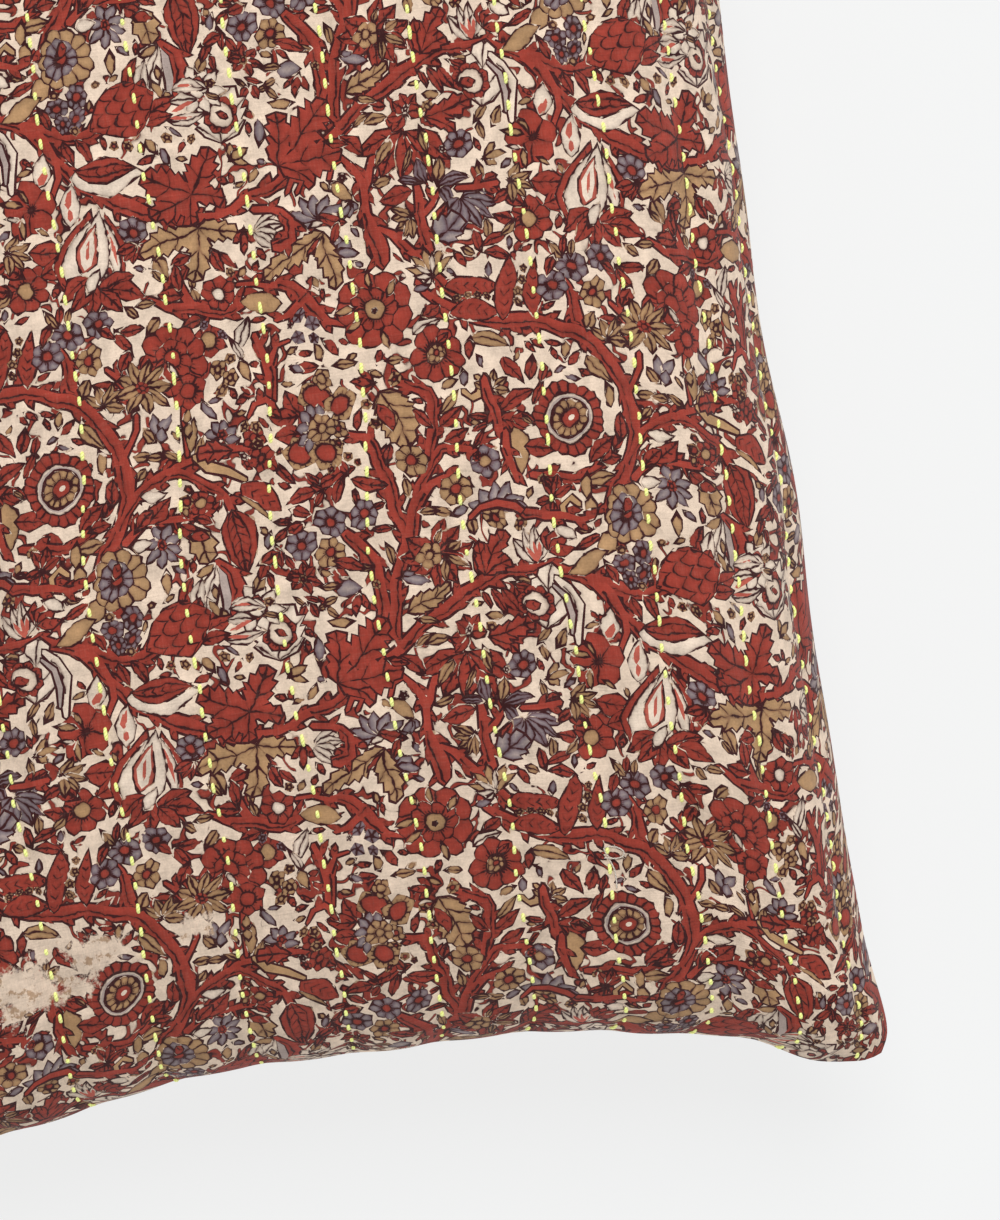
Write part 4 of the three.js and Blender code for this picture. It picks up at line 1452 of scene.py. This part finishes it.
@dataclass(frozen=True)
class BlockPrintedVoile:
    """Cotton voile, plain woven, hand block printed with pigment and washed.

    The thread is thin and matt, so there is no gloss, only a faint nap at grazing angles. The
    ink soaks in unevenly: the madder is blotchy, the plum outline is a little broken, and the
    undyed ground keeps the colour of raw cotton with its slubs. Lengths are mm of cloth.
    """

    ground: str = "#EDD6C0"
    madder: str = "#A33F32"
    plum: str = "#42191B"
    tan: str = "#BB936A"
    slate: str = "#7C6E78"
    white: str = "#F0DCC8"
    rose: str = "#C35F4F"
    stain: str = "#A9835F"
    bleed: str = "#74352B"
    yarn: float = 0.36  # from thread to thread of the weave
    slub: tuple[float, float] = (7.7, 0.526)  # length and thickness of a thick place in a yarn
    crease: float = 7.5  # a small crease of washing
    wobble: float = 1.82  # a bump in the edge of the print
    hatch: float = 2.3  # between the side veins of a madder leaf
    scale: float = 3.6  # one scale of the thistle
    twig: float = 5.9  # the curl of a fine twig
    twig_patch: float = 11.0  # a part of the ground with or without twigs
    load: float = 3.3  # a place where the block held more or less ink
    blotch: float = 6.2  # a place where the cloth drank more or less of it
    grain: float = 0.588  # the pigment's grain
    smear: float = 4.8  # a stain in a worn spot
    ragged: float = 9.0  # a bay in the edge of a worn spot
    worn: tuple[tuple[float, float, float, float], ...] = (
        (-253, 74, 6, 16), (-248, 55, 4.5, 9), (-246, 30, 3, 4),
    )  # u, v and half the size both ways of each worn spot

    def build(self) -> Material:
        """Makes the material.

        Returns:
            The finished material.
        """
        material = bpy.data.materials.new("block_printed_voile")
        material.use_nodes = True
        tree = material.node_tree
        tree.nodes.clear()
        node = partial(add, tree)
        cloth = node("Attribute", attribute_name="cloth", out="Vector")
        slubs = self.slubs(node, cloth)
        colour = self.inked(node, cloth, self.drawing(node, cloth), slubs)
        height = self.relief(node, cloth, slubs)
        bump = node("Bump", {"Height": height, "Strength": 0.6, "Distance": 0.0004})
        shader = node("BsdfPrincipled", {
            "Base Color": colour, "Roughness": 0.88, "IOR": 1.46, "Specular IOR Level": 0.25,
            "Sheen Weight": 0.12, "Sheen Roughness": 0.5, "Normal": bump,
        })
        node("OutputMaterial", shader)
        return material

    def drawing(self, node: partial, cloth: Socket) -> tuple[Socket, ...]:
        """Draws each patch: which ink a place has, and where the outline block printed.

        Args:
            node: adds a node.
            cloth: place on the cloth, in mm.

        Returns:
            The ink's number, the outline's cover from 0 to 1, how far in mm a place lies from the
            middle of an outline, and how much of the patch's rim the block missed, from 0 to 1.
        """
        inks = node("SeparateXYZ", node("Attribute", attribute_name="inks", out="Vector")).node.outputs
        ink = inks[0]
        spot = node("Attribute", attribute_name="spot", out="Vector")
        mark = node("SeparateXYZ", spot, out=2)
        wobble = {"Vector": cloth, "Scale": per_mm(self.wobble), "Detail": 1.5}
        wobble = node("TexNoise", wobble, normalize=False, out="Color")
        spot = node("VectorMath", wobble, (0.3, 0.3, 0), spot, operation="MULTIPLY_ADD")
        x, y = node("SeparateXYZ", spot), node("SeparateXYZ", spot, out=1)
        form = node("SeparateXYZ", node("Attribute", attribute_name="form", out="Vector")).node.outputs
        a, b, n = form[0], form[1], form[2]
        side = node("ABSOLUTE", y)

        # leaf: a is half its length, b half its width, and lines part it into n bands
        u = node("DIVIDE", x, a)
        bulge = node("SUBTRACT", 1, node("MULTIPLY", u, u))
        lean = node("MULTIPLY_ADD", u, -0.25, 1)
        half = node("MULTIPLY", node("MULTIPLY", b, bulge), lean)
        rim = node("SUBTRACT", half, side)
        share = node("DIVIDE", y, half)
        count = node("ABSOLUTE", n)
        band = node("MULTIPLY", node("ADD", share, 1), count)
        band = node("PINGPONG", node("MULTIPLY", band, 0.5), 0.5)
        band = node("DIVIDE", node("MULTIPLY", band, half), count)
        band = node("MULTIPLY_ADD", band, 2, LINE * 0.55)
        bare = node("MULTIPLY", node("LESS_THAN", n, 0), 9)
        leaf = node("ADD", node("MINIMUM", rim, band), bare)
        hatch = node("DIVIDE", node("MULTIPLY_ADD", side, -0.9, x), self.hatch)
        hatch = node("MULTIPLY_ADD", node("PINGPONG", hatch, 0.5), 1.8, LINE * 0.74)
        flank = node("MapRange", node("ABSOLUTE", share), 0.4, 0.62, 0, 1)
        hatch = node("ADD", flank, hatch)
        madder = node("COMPARE", ink, Ink.MADDER, 0.5)
        hatch = node("MULTIPLY_ADD", madder, -9, hatch)
        leaf = node("MINIMUM", leaf, node("ADD", hatch, 9))

        # bloom: a is its radius, b its eye's, and it has n petals, with short strokes from the eye
        flat = node("VectorMath", spot, (1, 1, 0), operation="MULTIPLY")
        radius = node("VectorMath", flat, operation="LENGTH", out="Value")
        turn = node("MULTIPLY", node("ARCTAN2", y, x), n)
        petal = node("PINGPONG", node("DIVIDE", turn, 2 * math.pi), 0.5)
        notch = node("MULTIPLY_ADD", petal, -2, 1)
        dip = node("DIVIDE", -1.1, n)
        notch = node("MULTIPLY_ADD", node("MULTIPLY", notch, notch), dip, 1)
        edge = node("SUBTRACT", node("MULTIPLY", a, notch), radius)
        split = node("DIVIDE", node("MULTIPLY", petal, radius), n)
        split = node("MULTIPLY_ADD", split, 2 * math.pi, LINE * 0.55)
        stroke = node("PINGPONG", node("MULTIPLY", turn, 1.5 / math.pi), 0.5)
        stroke = node("DIVIDE", node("MULTIPLY", stroke, radius), n)
        inward = node("DIVIDE", node("SUBTRACT", radius, b), a)
        inward = node("MapRange", inward, 0.12, 0.34, LINE * 0.7, 1.5)
        inward = node("ADD", node("GREATER_THAN", n, 12), inward)
        stroke = node("MULTIPLY_ADD", stroke, 2 * math.pi / 3, inward)
        split = node("MINIMUM", split, stroke)
        eye = node("LESS_THAN", radius, b)
        split = node("MULTIPLY_ADD", eye, 9, split)
        ring = node("ABSOLUTE", node("SUBTRACT", radius, b))
        ring = node("ADD", ring, LINE * 0.45)
        bloom = node("MINIMUM", node("MINIMUM", edge, split), ring)

        # stem: a is half its width, and a wide one has a line along it
        vein = node("ABSOLUTE", node("MULTIPLY_ADD", a, -0.3, y))
        slim = node("MULTIPLY_ADD", node("LESS_THAN", a, 1.25), 9, LINE * 0.6)
        stem = node("ADD", vein, slim)

        # saw-edged leaf: a midrib, and side veins a mm apart
        rib = node("DIVIDE", node("MULTIPLY_ADD", side, -0.8, x), a)
        rib = node("MULTIPLY", node("PINGPONG", rib, 0.5), a)
        rib = node("MULTIPLY_ADD", rib, 0.8, LINE * 0.62)
        veins = node("MINIMUM", rib, node("ADD", side, LINE * 0.5))

        # scales: arcs in rows, each row half a scale beside the next
        row = node("DIVIDE", x, self.scale)
        odd = node("MULTIPLY", node("FLOOR", row), 0.5)
        tile = node("ADD", node("DIVIDE", y, self.scale), odd)
        tile = node("MULTIPLY_ADD", node("PINGPONG", tile, 0.5), -2, 1)
        arc = node("MULTIPLY_ADD", node("MULTIPLY", tile, tile), -0.7, 0.85)
        arc = node("SUBTRACT", node("FRACT", row), arc)
        arc = node("MULTIPLY_ADD", node("ABSOLUTE", arc), 3, LINE * 0.5)
        scales = node("MINIMUM", arc, rim)

        # the lines and the rim of the patch's own kind; 9 mm stands for none near
        gap = outer = node("MULTIPLY", node("COMPARE", mark, 0, 0.5), 9)
        drawn = (
            (Mark.LEAF, leaf, rim), (Mark.BLOOM, bloom, edge), (Mark.STEM, stem, 9.0),
            (Mark.VEINS, veins, 9.0), (Mark.SCALES, scales, rim),
        )
        for kind, lines, end in drawn:
            chosen = node("COMPARE", mark, kind, 0.5)
            gap = node("MULTIPLY_ADD", chosen, lines, gap)
            outer = node("MULTIPLY_ADD", chosen, end, outer)

        # fine twigs, madder with a dark edge, where the ground is bare
        curl = {"Vector": cloth, "Scale": per_mm(self.twig), "Detail": 0.5, "Distortion": 0.6}
        curl = node("TexNoise", curl, normalize=False)
        fade = {"Vector": cloth, "Scale": per_mm(self.twig_patch), "Detail": 1}
        fade = node("MapRange", node("TexNoise", fade, normalize=False), -0.09, 0.15, 0.58, -1.2)
        curl = node("MULTIPLY_ADD", node("ABSOLUTE", curl), -3.6, fade)
        bare = node("LESS_THAN", node("ADD", ink, mark), 0.5)
        twig = node("MULTIPLY", node("GREATER_THAN", curl, 0.14), bare)
        outside = node("MULTIPLY_ADD", curl, -4, 0.24)
        twigs = node("MAXIMUM", node("SUBTRACT", curl, 0.06), outside)
        twigs = node("ADD", twigs, LINE * 0.62 - 9)
        gap = node("MULTIPLY_ADD", bare, twigs, gap)

        # where the block held much ink its lines are wide, and where it held little a rim is missed
        load = {"Vector": cloth, "Scale": per_mm(self.load), "Detail": 3}
        load = node("TexNoise", load, normalize=False)
        outer = node("ABSOLUTE", outer)
        missed = node("SUBTRACT", node("MULTIPLY", load, -0.75), outer)
        missed = node("MULTIPLY_ADD", missed, 7, 0.05, use_clamp=True)
        wide = node("MULTIPLY_ADD", load, 0.27, LINE * 0.91)
        line = node("SUBTRACT", wide, gap)
        line = node("MULTIPLY_ADD", line, 6, 0.5, use_clamp=True)

        # a bloom's eye has the patch's second ink
        chosen = node("COMPARE", mark, Mark.BLOOM, 0.5)
        chosen = node("MULTIPLY", chosen, eye)
        ink = node("Mix", chosen, None, inks[0], inks[1], data_type="FLOAT")
        ink = node("MULTIPLY_ADD", twig, Ink.MADDER, ink)
        return ink, line, gap, missed

    def slubs(self, node: partial, cloth: Socket) -> Socket:
        """Gives the uneven yarns of both directions.

        Args:
            node: adds a node.
            cloth: place on the cloth, in mm.

        Returns:
            The thickness, around 0.
        """
        along, over = (per_mm(size) for size in self.slub)
        warp = node("VectorMath", cloth, (along, over, 0), operation="MULTIPLY")
        weft = node("VectorMath", cloth, (over, along, 0), operation="MULTIPLY")
        warp = node("TexNoise", {"Vector": warp, "Scale": 1, "Detail": 2}, normalize=False)
        weft = node("TexNoise", {"Vector": weft, "Scale": 1, "Detail": 2}, normalize=False)
        return node("ADD", warp, weft)

    def inked(self, node: partial, cloth: Socket, drawn: tuple[Socket, ...], slubs: Socket) -> Socket:
        """Colours the cloth with the print, blotchy, slubby and worn.

        Args:
            node: adds a node.
            cloth: place on the cloth, in mm.
            drawn: what drawing() gives.
            slubs: the uneven yarns.

        Returns:
            The colour.
        """
        ink, line, gap, missed = drawn
        place = node("DIVIDE", node("ADD", ink, 0.5), len(Ink))
        fill = node("ValToRGB", place)
        self.fill_ramp(fill.node.color_ramp)
        blotch = {"Vector": cloth, "Scale": per_mm(self.blotch), "Detail": 5, "Roughness": 0.65}
        blotch = node("TexNoise", blotch, normalize=False)
        grain = {"Vector": cloth, "Scale": per_mm(self.grain), "Detail": 2}
        grain = node("TexNoise", grain, normalize=False)
        tone = node("MULTIPLY_ADD", blotch, 0.22, 1)
        tone = node("MULTIPLY_ADD", grain, 0.10, tone)
        tone = node("MULTIPLY_ADD", slubs, 0.02, tone)
        pale = node("COMPARE", ink, Ink.SLATE, 0.5)
        pale = node("MULTIPLY", node("MapRange", gap, 0.5, 2.4, 0, 0.4), pale)
        fill = node("Mix", {0: pale, 6: fill, 7: linear(self.ground)}, data_type="RGBA", out=2)
        soak = node("MapRange", gap, LINE - 0.1, LINE + 0.4, 0.4, 0)
        fill = node("Mix", {0: soak, 6: fill, 7: linear(self.bleed)}, data_type="RGBA", out=2)
        full = node("Mix", {0: line, 6: fill, 7: linear(self.plum)}, data_type="RGBA", out=2)
        pooled = node("MapRange", gap, 0.5, 1.9, 0.84, 1.03)
        full = node("VectorMath", full, {3: pooled}, operation="SCALE")
        smear = {"Vector": cloth, "Scale": per_mm(self.smear), "Detail": 4, "Roughness": 0.7}
        smear = node("MapRange", node("TexNoise", smear, normalize=False), 0.24, 0.46, 0, 0.75)
        bare = {0: smear, 6: linear(self.ground), 7: linear(self.stain)}
        bare = node("Mix", bare, data_type="RGBA", out=2)
        thin = node("MAXIMUM", self.thin(node, cloth, slubs), missed)
        full = node("Mix", {0: thin, 6: full, 7: bare}, data_type="RGBA", out=2)
        return node("VectorMath", full, {3: tone}, operation="SCALE")

    def thin(self, node: partial, cloth: Socket, slubs: Socket) -> Socket:
        """Gives how much of the ink is worn off in the worn spots.

        Args:
            node: adds a node.
            cloth: place on the cloth, in mm.
            slubs: the uneven yarns.

        Returns:
            The share that is worn off, from 0 to 1.
        """
        near = None
        for u, v, reach_u, reach_v in self.worn:
            off = node("VectorMath", cloth, (u, v, 0), operation="SUBTRACT")
            off = node("VectorMath", off, (1 / reach_u, 1 / reach_v, 0), operation="MULTIPLY")
            off = node("VectorMath", off, operation="LENGTH", out="Value")
            near = off if near is None else node("MINIMUM", near, off)
        ragged = {"Vector": cloth, "Scale": per_mm(self.ragged), "Detail": 6, "Roughness": 0.7}
        near = node("MULTIPLY_ADD", node("TexNoise", ragged, normalize=False), 0.9, near)
        near = node("MapRange", near, 0.75, 1.1, 0.96, 0)
        return node("MULTIPLY_ADD", slubs, 0.03, near, use_clamp=True)

    def relief(self, node: partial, cloth: Socket, slubs: Socket) -> Socket:
        """Raises the weave, the slubs and the small creases of washed voile.

        Args:
            node: adds a node.
            cloth: place on the cloth, in mm.
            slubs: the uneven yarns.

        Returns:
            The height, where 1 is the bump's distance.
        """
        yarn = node("VectorMath", cloth, (2 * math.pi / self.yarn,) * 3, operation="MULTIPLY")
        yarn = node("SeparateXYZ", node("VectorMath", yarn, operation="SINE")).node.outputs
        weave = node("MULTIPLY", yarn[0], yarn[1])
        crease = {"Vector": cloth, "Scale": per_mm(self.crease), "Detail": 4}
        crease = node("TexNoise", crease, normalize=False)
        height = node("MULTIPLY_ADD", weave, 0.12, node("MULTIPLY", slubs, 0.25))
        return node("MULTIPLY_ADD", crease, 1.1, height)

    def fill_ramp(self, ramp: ColorRamp) -> None:
        """Puts the inks on a stepped ramp, in the order of Ink.

        Args:
            ramp: a new ramp of two stops.
        """
        colours = (self.ground, self.madder, self.plum, self.tan, self.slate, self.white, self.rose)
        ramp.interpolation = "CONSTANT"
        ramp.elements.remove(ramp.elements[1])
        for number, colour in enumerate(colours):
            stop = ramp.elements[0] if number == 0 else ramp.elements.new(number / len(colours))
            stop.color = linear(colour)


@dataclass(frozen=True)
class SoftTwistThread:
    """Two-ply cotton embroidery thread, dyed neon yellow.

    Loosely twisted cotton is matt with a slight fuzz. Its colour is painted darker and greener in the
    grooves, which is painted shade where the two plies shade each other. The dye is fluorescent, so it
    gives back more light than falls on it, which is the small glow. Undyed sewing thread is made the same
    way, with neither the dye nor the glow.
    """

    name: str = "soft_twist_thread"
    crest: str = "#FAFFA4"
    # painted shade: the thread's colour in the grooves between the plies
    groove_shade: str = "#DEEC66"
    glow: float = 0.22
    ply: float = 0.9  # along the thread from crest to crest, mm
    fuzz: float = 0.2  # size of the fuzz, mm

    def build(self) -> Material:
        """Makes the material.

        Returns:
            The finished material.
        """
        material = bpy.data.materials.new(self.name)
        material.use_nodes = True
        tree = material.node_tree
        tree.nodes.clear()
        node = partial(add, tree)
        place = node("Attribute", attribute_name="ply", out="Vector")
        ply = node("SeparateXYZ", place).node.outputs
        twist = node("MULTIPLY_ADD", ply[0], 1 / self.ply, ply[1])
        twist = node("MULTIPLY", node("PINGPONG", twist, 0.5), 2)
        fuzz = node("TexNoise", {"Vector": place, "Scale": per_mm(self.fuzz), "Detail": 3})
        shade = node("MULTIPLY_ADD", fuzz, 0.5, twist)
        shade = node("MapRange", shade, 0.25, 0.85, 0, 1)
        # painted shade: the colour goes from the crest's towards the darker groove colour along the twist
        colour = {0: shade, 6: linear(self.groove_shade), 7: linear(self.crest)}
        colour = node("Mix", colour, data_type="RGBA", out=2)
        bump = node("Bump", {"Height": shade, "Strength": 0.8, "Distance": 0.0002})
        shader = node("BsdfPrincipled", {
            "Base Color": colour, "Roughness": 0.75, "Specular IOR Level": 0.3, "Sheen Weight": 0.2,
            "Emission Color": linear(self.crest), "Emission Strength": self.glow, "Normal": bump,
        })
        node("OutputMaterial", shader)
        return material


def tube(rings: int, corners: int) -> Array:
    """Gives the triangles of a tube of rings, closed at both ends.

    Args:
        rings: how many rings.
        corners: how many points a ring has.

    Returns:
        Three point numbers for each triangle.
    """
    i, j = np.meshgrid(np.arange(rings - 1), np.arange(corners), indexing="ij")
    a, b = i * corners + j, i * corners + (j + 1) % corners
    quads = np.stack([a, b, b + corners, a + corners], axis=-1).reshape(-1, 4)
    fan = np.array([(0, k + 1, k) for k in range(1, corners - 1)])
    end = (rings - 1) * corners + np.array([(0, k, k + 1) for k in range(1, corners - 1)])
    return np.vstack([quads[:, [0, 1, 2]], quads[:, [0, 2, 3]], fan, end])


@dataclass
class Panel:
    """One printed panel of the cover."""

    side: Side
    cloth: PrintedCloth
    cover: StuffedCover
    fill: float = 0.75

    def build(self, material: Material) -> Object:
        """Lays the cut cloth on the stuffed form.

        Args:
            material: the printed cotton.

        Returns:
            The panel.
        """
        flip = int(self.side)
        u, v = self.cloth.points[:, 0] * flip, self.cloth.points[:, 1]
        points, normals = self.cover.laid(u, v, self.side)
        triangles = self.cloth.triangles
        name = "front_panel" if self.side is Side.FRONT else "back_panel"
        panel = make_piece(name, points, triangles, material, normals)
        mesh = panel.data
        put_attribute(mesh, "spot", "CORNER", self.cloth.spot)
        put_attribute(mesh, "form", "CORNER", self.cloth.form)
        put_attribute(mesh, "inks", "CORNER", self.cloth.inks)
        put_attribute(mesh, "cloth", "POINT", np.stack([u * flip, v, 0 * u], axis=1))
        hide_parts("pillow")
        return panel


@dataclass
class RunningStitch:
    """The running stitches of one panel, each a short arch of thread between two needle holes."""

    side: Side
    cover: StuffedCover
    width: float = 1.02
    height: float = 0.68
    sunk: float = 0.38  # how deep its ends lie in the cloth
    arch: float = 0.7  # from there to its middle
    rings: int = 7
    corners: int = 7

    def build(self, material: Material) -> Object:
        """Sews all the rows.

        Args:
            material: the thread.

        Returns:
            The stitches, as one piece.
        """
        rows = self.cover.form.rows
        spans = [(rows.stitches(k, self.side), k) for k in range(rows.rows)]
        first = np.concatenate([s[:, 0] for s, _ in spans])
        last = np.concatenate([s[:, 1] for s, _ in spans])
        slip = np.concatenate([s[:, 2] for s, _ in spans])
        row = np.concatenate([np.full(len(s), k) for s, k in spans])
        f = np.linspace(0, 1, self.rings)
        u = first[:, None] + (last - first)[:, None] * f
        v = np.stack([rows.middle(row, u[:, i]) for i in range(self.rings)], axis=1) + slip[:, None]
        middle, normal = self.cover.laid(u, v, self.side)
        along = np.gradient(middle, axis=1)
        along /= np.linalg.norm(along, axis=-1, keepdims=True)
        across = np.cross(normal, along)
        full = np.sin(np.pi * (0.08 + 0.84 * f)) ** 0.45
        rise = -self.sunk + self.arch * np.sin(np.pi * f) ** 0.6
        turn = 2 * np.pi * np.arange(self.corners) / self.corners
        out = middle[:, :, None] + normal[:, :, None] * rise[None, :, None, None]
        out = out + across[:, :, None] * (self.width / 2 * full[:, None] * np.cos(turn))[None, :, :, None]
        out = out + normal[:, :, None] * (self.height / 2 * full[:, None] * np.sin(turn))[None, :, :, None]
        count, size = len(first), self.rings * self.corners
        triangles = tube(self.rings, self.corners)
        triangles = (np.arange(count)[:, None, None] * size + triangles[None]).reshape(-1, 3)
        if self.side is Side.BACK:
            triangles = triangles[:, ::-1]
            out[..., 2] = np.maximum(out[..., 2], 0.02)
        name = "front_stitches" if self.side is Side.FRONT else "back_stitches"
        piece = make_piece(name, out.reshape(-1, 3), triangles, material)
        run = np.broadcast_to(u[:, :, None], (count, self.rings, self.corners))
        around = np.broadcast_to(np.abs(np.arange(self.corners) / self.corners * 2 - 1), run.shape)
        thread = np.broadcast_to(row[:, None, None], run.shape)
        put_attribute(piece.data, "ply", "POINT", np.stack([run, around, thread], axis=-1).reshape(-1, 3))
        return piece


@dataclass
class LooseEnds:
    """Thin ends of undyed thread that were left on the front, each lying in a soft curve."""

    cover: StuffedCover
    courses: tuple[tuple[tuple[float, float], ...], ...] = (
        ((-237.3, -73.1), (-240.5, -73.6), (-241.5, -76.2), (-248.0, -75.5)),
        ((-237.2, -73.2), (-236.0, -79.5), (-241.8, -80.0), (-239.8, -72.8)),
        ((-266.0, -93.2), (-266.4, -96.5), (-268.8, -98.4)),
    )
    thickness: float = 0.36
    rings: int = 22
    corners: int = 6

    def build(self, material: Material) -> Object:
        """Lays the ends on the cloth.

        Args:
            material: the thread.

        Returns:
            The ends, as one piece.
        """
        share = np.linspace(0, 1, self.rings)[:, None, None]
        turn = 2 * np.pi * np.arange(self.corners) / self.corners
        tubes, plies = [], []
        for number, course in enumerate(self.courses):
            place = np.repeat(np.array(course)[None], self.rings, axis=0)
            while place.shape[1] > 1:
                place = place[:, :-1] * (1 - share) + place[:, 1:] * share
            middle, normal = self.cover.laid(place[:, 0, 0], place[:, 0, 1], Side.FRONT)
            along = np.gradient(middle, axis=0)
            run = np.cumsum(np.linalg.norm(along, axis=1))
            across = np.cross(normal, along / np.linalg.norm(along, axis=1, keepdims=True))
            lift = self.thickness / 2 + 0.5 * share[:, 0] ** 4
            outward = across[:, None] * np.cos(turn)[:, None] + normal[:, None] * np.sin(turn)[:, None]
            tubes.append((middle + normal * lift)[:, None] + outward * self.thickness / 2)
            ply = np.stack(np.broadcast_arrays(run[:, None], turn / np.pi, number * 7.0), axis=-1)
            plies.append(ply.reshape(-1, 3))
        size = self.rings * self.corners
        triangles = np.vstack([tube(self.rings, self.corners) + k * size for k in range(len(tubes))])
        points = np.vstack(tubes).reshape(-1, 3)
        piece = make_piece("loose_ends", points, triangles, material)
        put_attribute(piece.data, "ply", "POINT", np.vstack(plies))
        return piece


@dataclass
class Studio:
    """A pale floor under soft light, seen from straight above, as in the photograph."""

    roll: float = 7.5  # degrees that the pillow's length leans in the frame
    looks_at: tuple[float, float] = (-173.9, -57.1)  # the frame's middle, mm
    tall: float = 305.0  # what the frame's height shows, mm
    distance: float = 2.2
    level: float = 0.05
    floor: str = "#F6F7F7"
    own_light: float = 0.83  # its glow, which keeps it as white as the photograph's
    sky: float = 0.5
    box: float = 1.8
    watts: float = 46.5

    def build(self) -> None:
        """Sets up the floor, the lights and the camera."""
        self.lay_floor()
        self.light()
        self.place_camera()
        bpy.context.scene.view_settings.view_transform = "Standard"

    def lay_floor(self) -> None:
        """Lays the floor, which isn't part of the object."""
        mesh = bpy.data.meshes.new("floor")
        mesh.from_pydata([(-3, -3, 0), (3, -3, 0), (3, 3, 0), (-3, 3, 0)], [], [(0, 1, 2, 3)])
        floor = bpy.data.objects.new("floor", mesh)
        material = bpy.data.materials.new("painted_board")
        material.use_nodes = True
        shader = material.node_tree.nodes["Principled BSDF"]
        lit = [part * (1 - self.own_light) for part in linear(self.floor)[:3]]
        shader.inputs["Base Color"].default_value = [*lit, 1]
        shader.inputs["Roughness"].default_value = 0.9
        shader.inputs["Specular IOR Level"].default_value = 0
        shader.inputs["Emission Color"].default_value = linear(self.floor)
        shader.inputs["Emission Strength"].default_value = self.own_light
        mesh.materials.append(material)
        bpy.context.scene.collection.objects.link(floor)

    def axes(self) -> tuple[Vector, Vector]:
        """Gives which way the photograph's right and its upper edge lie."""
        a = math.radians(self.roll)
        return Vector((-math.sin(a), -math.cos(a), 0)), Vector((math.cos(a), -math.sin(a), 0))

    def light(self) -> None:
        """Hangs one large soft light beyond the photograph's upper edge, and a pale sky all round."""
        world = bpy.data.worlds.new("studio")
        world.use_nodes = True
        background = world.node_tree.nodes["Background"]
        background.inputs["Color"].default_value = (1.0, 0.99, 0.98, 1)
        background.inputs["Strength"].default_value = self.sky
        bpy.context.scene.world = world
        right, up = self.axes()
        target = Vector((self.looks_at[0] * MM, self.looks_at[1] * MM, 0))
        lamp = bpy.data.lights.new("softbox", "AREA")
        lamp.shape, lamp.size, lamp.size_y, lamp.energy = "RECTANGLE", self.box, self.box, self.watts
        place = target + up * 1.5 + right * 0.2 + Vector((0, 0, 2.4))
        turn = (target - place).to_track_quat("-Z", "Y").to_matrix().to_4x4()
        box = bpy.data.objects.new("softbox", lamp)
        box.matrix_world = Matrix.Translation(place) @ turn
        bpy.context.scene.collection.objects.link(box)

    def place_camera(self) -> None:
        """Places the camera straight above, with the pillow's length close to upright."""
        camera = bpy.data.cameras.new("camera")
        camera.sensor_fit = "VERTICAL"
        camera.sensor_height = 36
        camera.lens = 36 * self.distance / (self.tall * MM)
        seen = bpy.data.objects.new("camera", camera)
        turn = Matrix((*self.axes(), Vector((0, 0, 1)))).transposed().to_4x4()
        place = Vector((self.looks_at[0] * MM, self.looks_at[1] * MM, self.level + self.distance))
        seen.matrix_world = Matrix.Translation(place) @ turn
        bpy.context.scene.collection.objects.link(seen)
        bpy.context.scene.camera = seen


def report(piece: Object) -> None:
    """Logs a piece's name and triangle count."""
    log.info("%s: %d triangles", piece.name, len(piece.data.polygons))


def main() -> None:
    """Builds the pillow and its studio."""
    logging.basicConfig(level=logging.INFO, format="%(name)s %(message)s")
    Studio().build()
    cover = StuffedCover()
    cover.build(simulate=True)
    log.info("cover stuffed")
    cloth = PrintedCloth(FloralRepeat().build(), cover.form.rows)
    cloth.build()
    log.info("print cut into %d triangles", len(cloth.triangles))
    voile, thread = BlockPrintedVoile().build(), SoftTwistThread().build()
    for side in Side:
        report(Panel(side, cloth, cover).build(voile))
        report(RunningStitch(side, cover).build(thread))
    # CDB79F is the painted shade in the grooves of the undyed thread
    undyed = SoftTwistThread("undyed_thread", "#F4EBDF", "#CDB79F", 0.0).build()
    report(LooseEnds(cover).build(undyed))


if __name__ == "__main__":
    main()
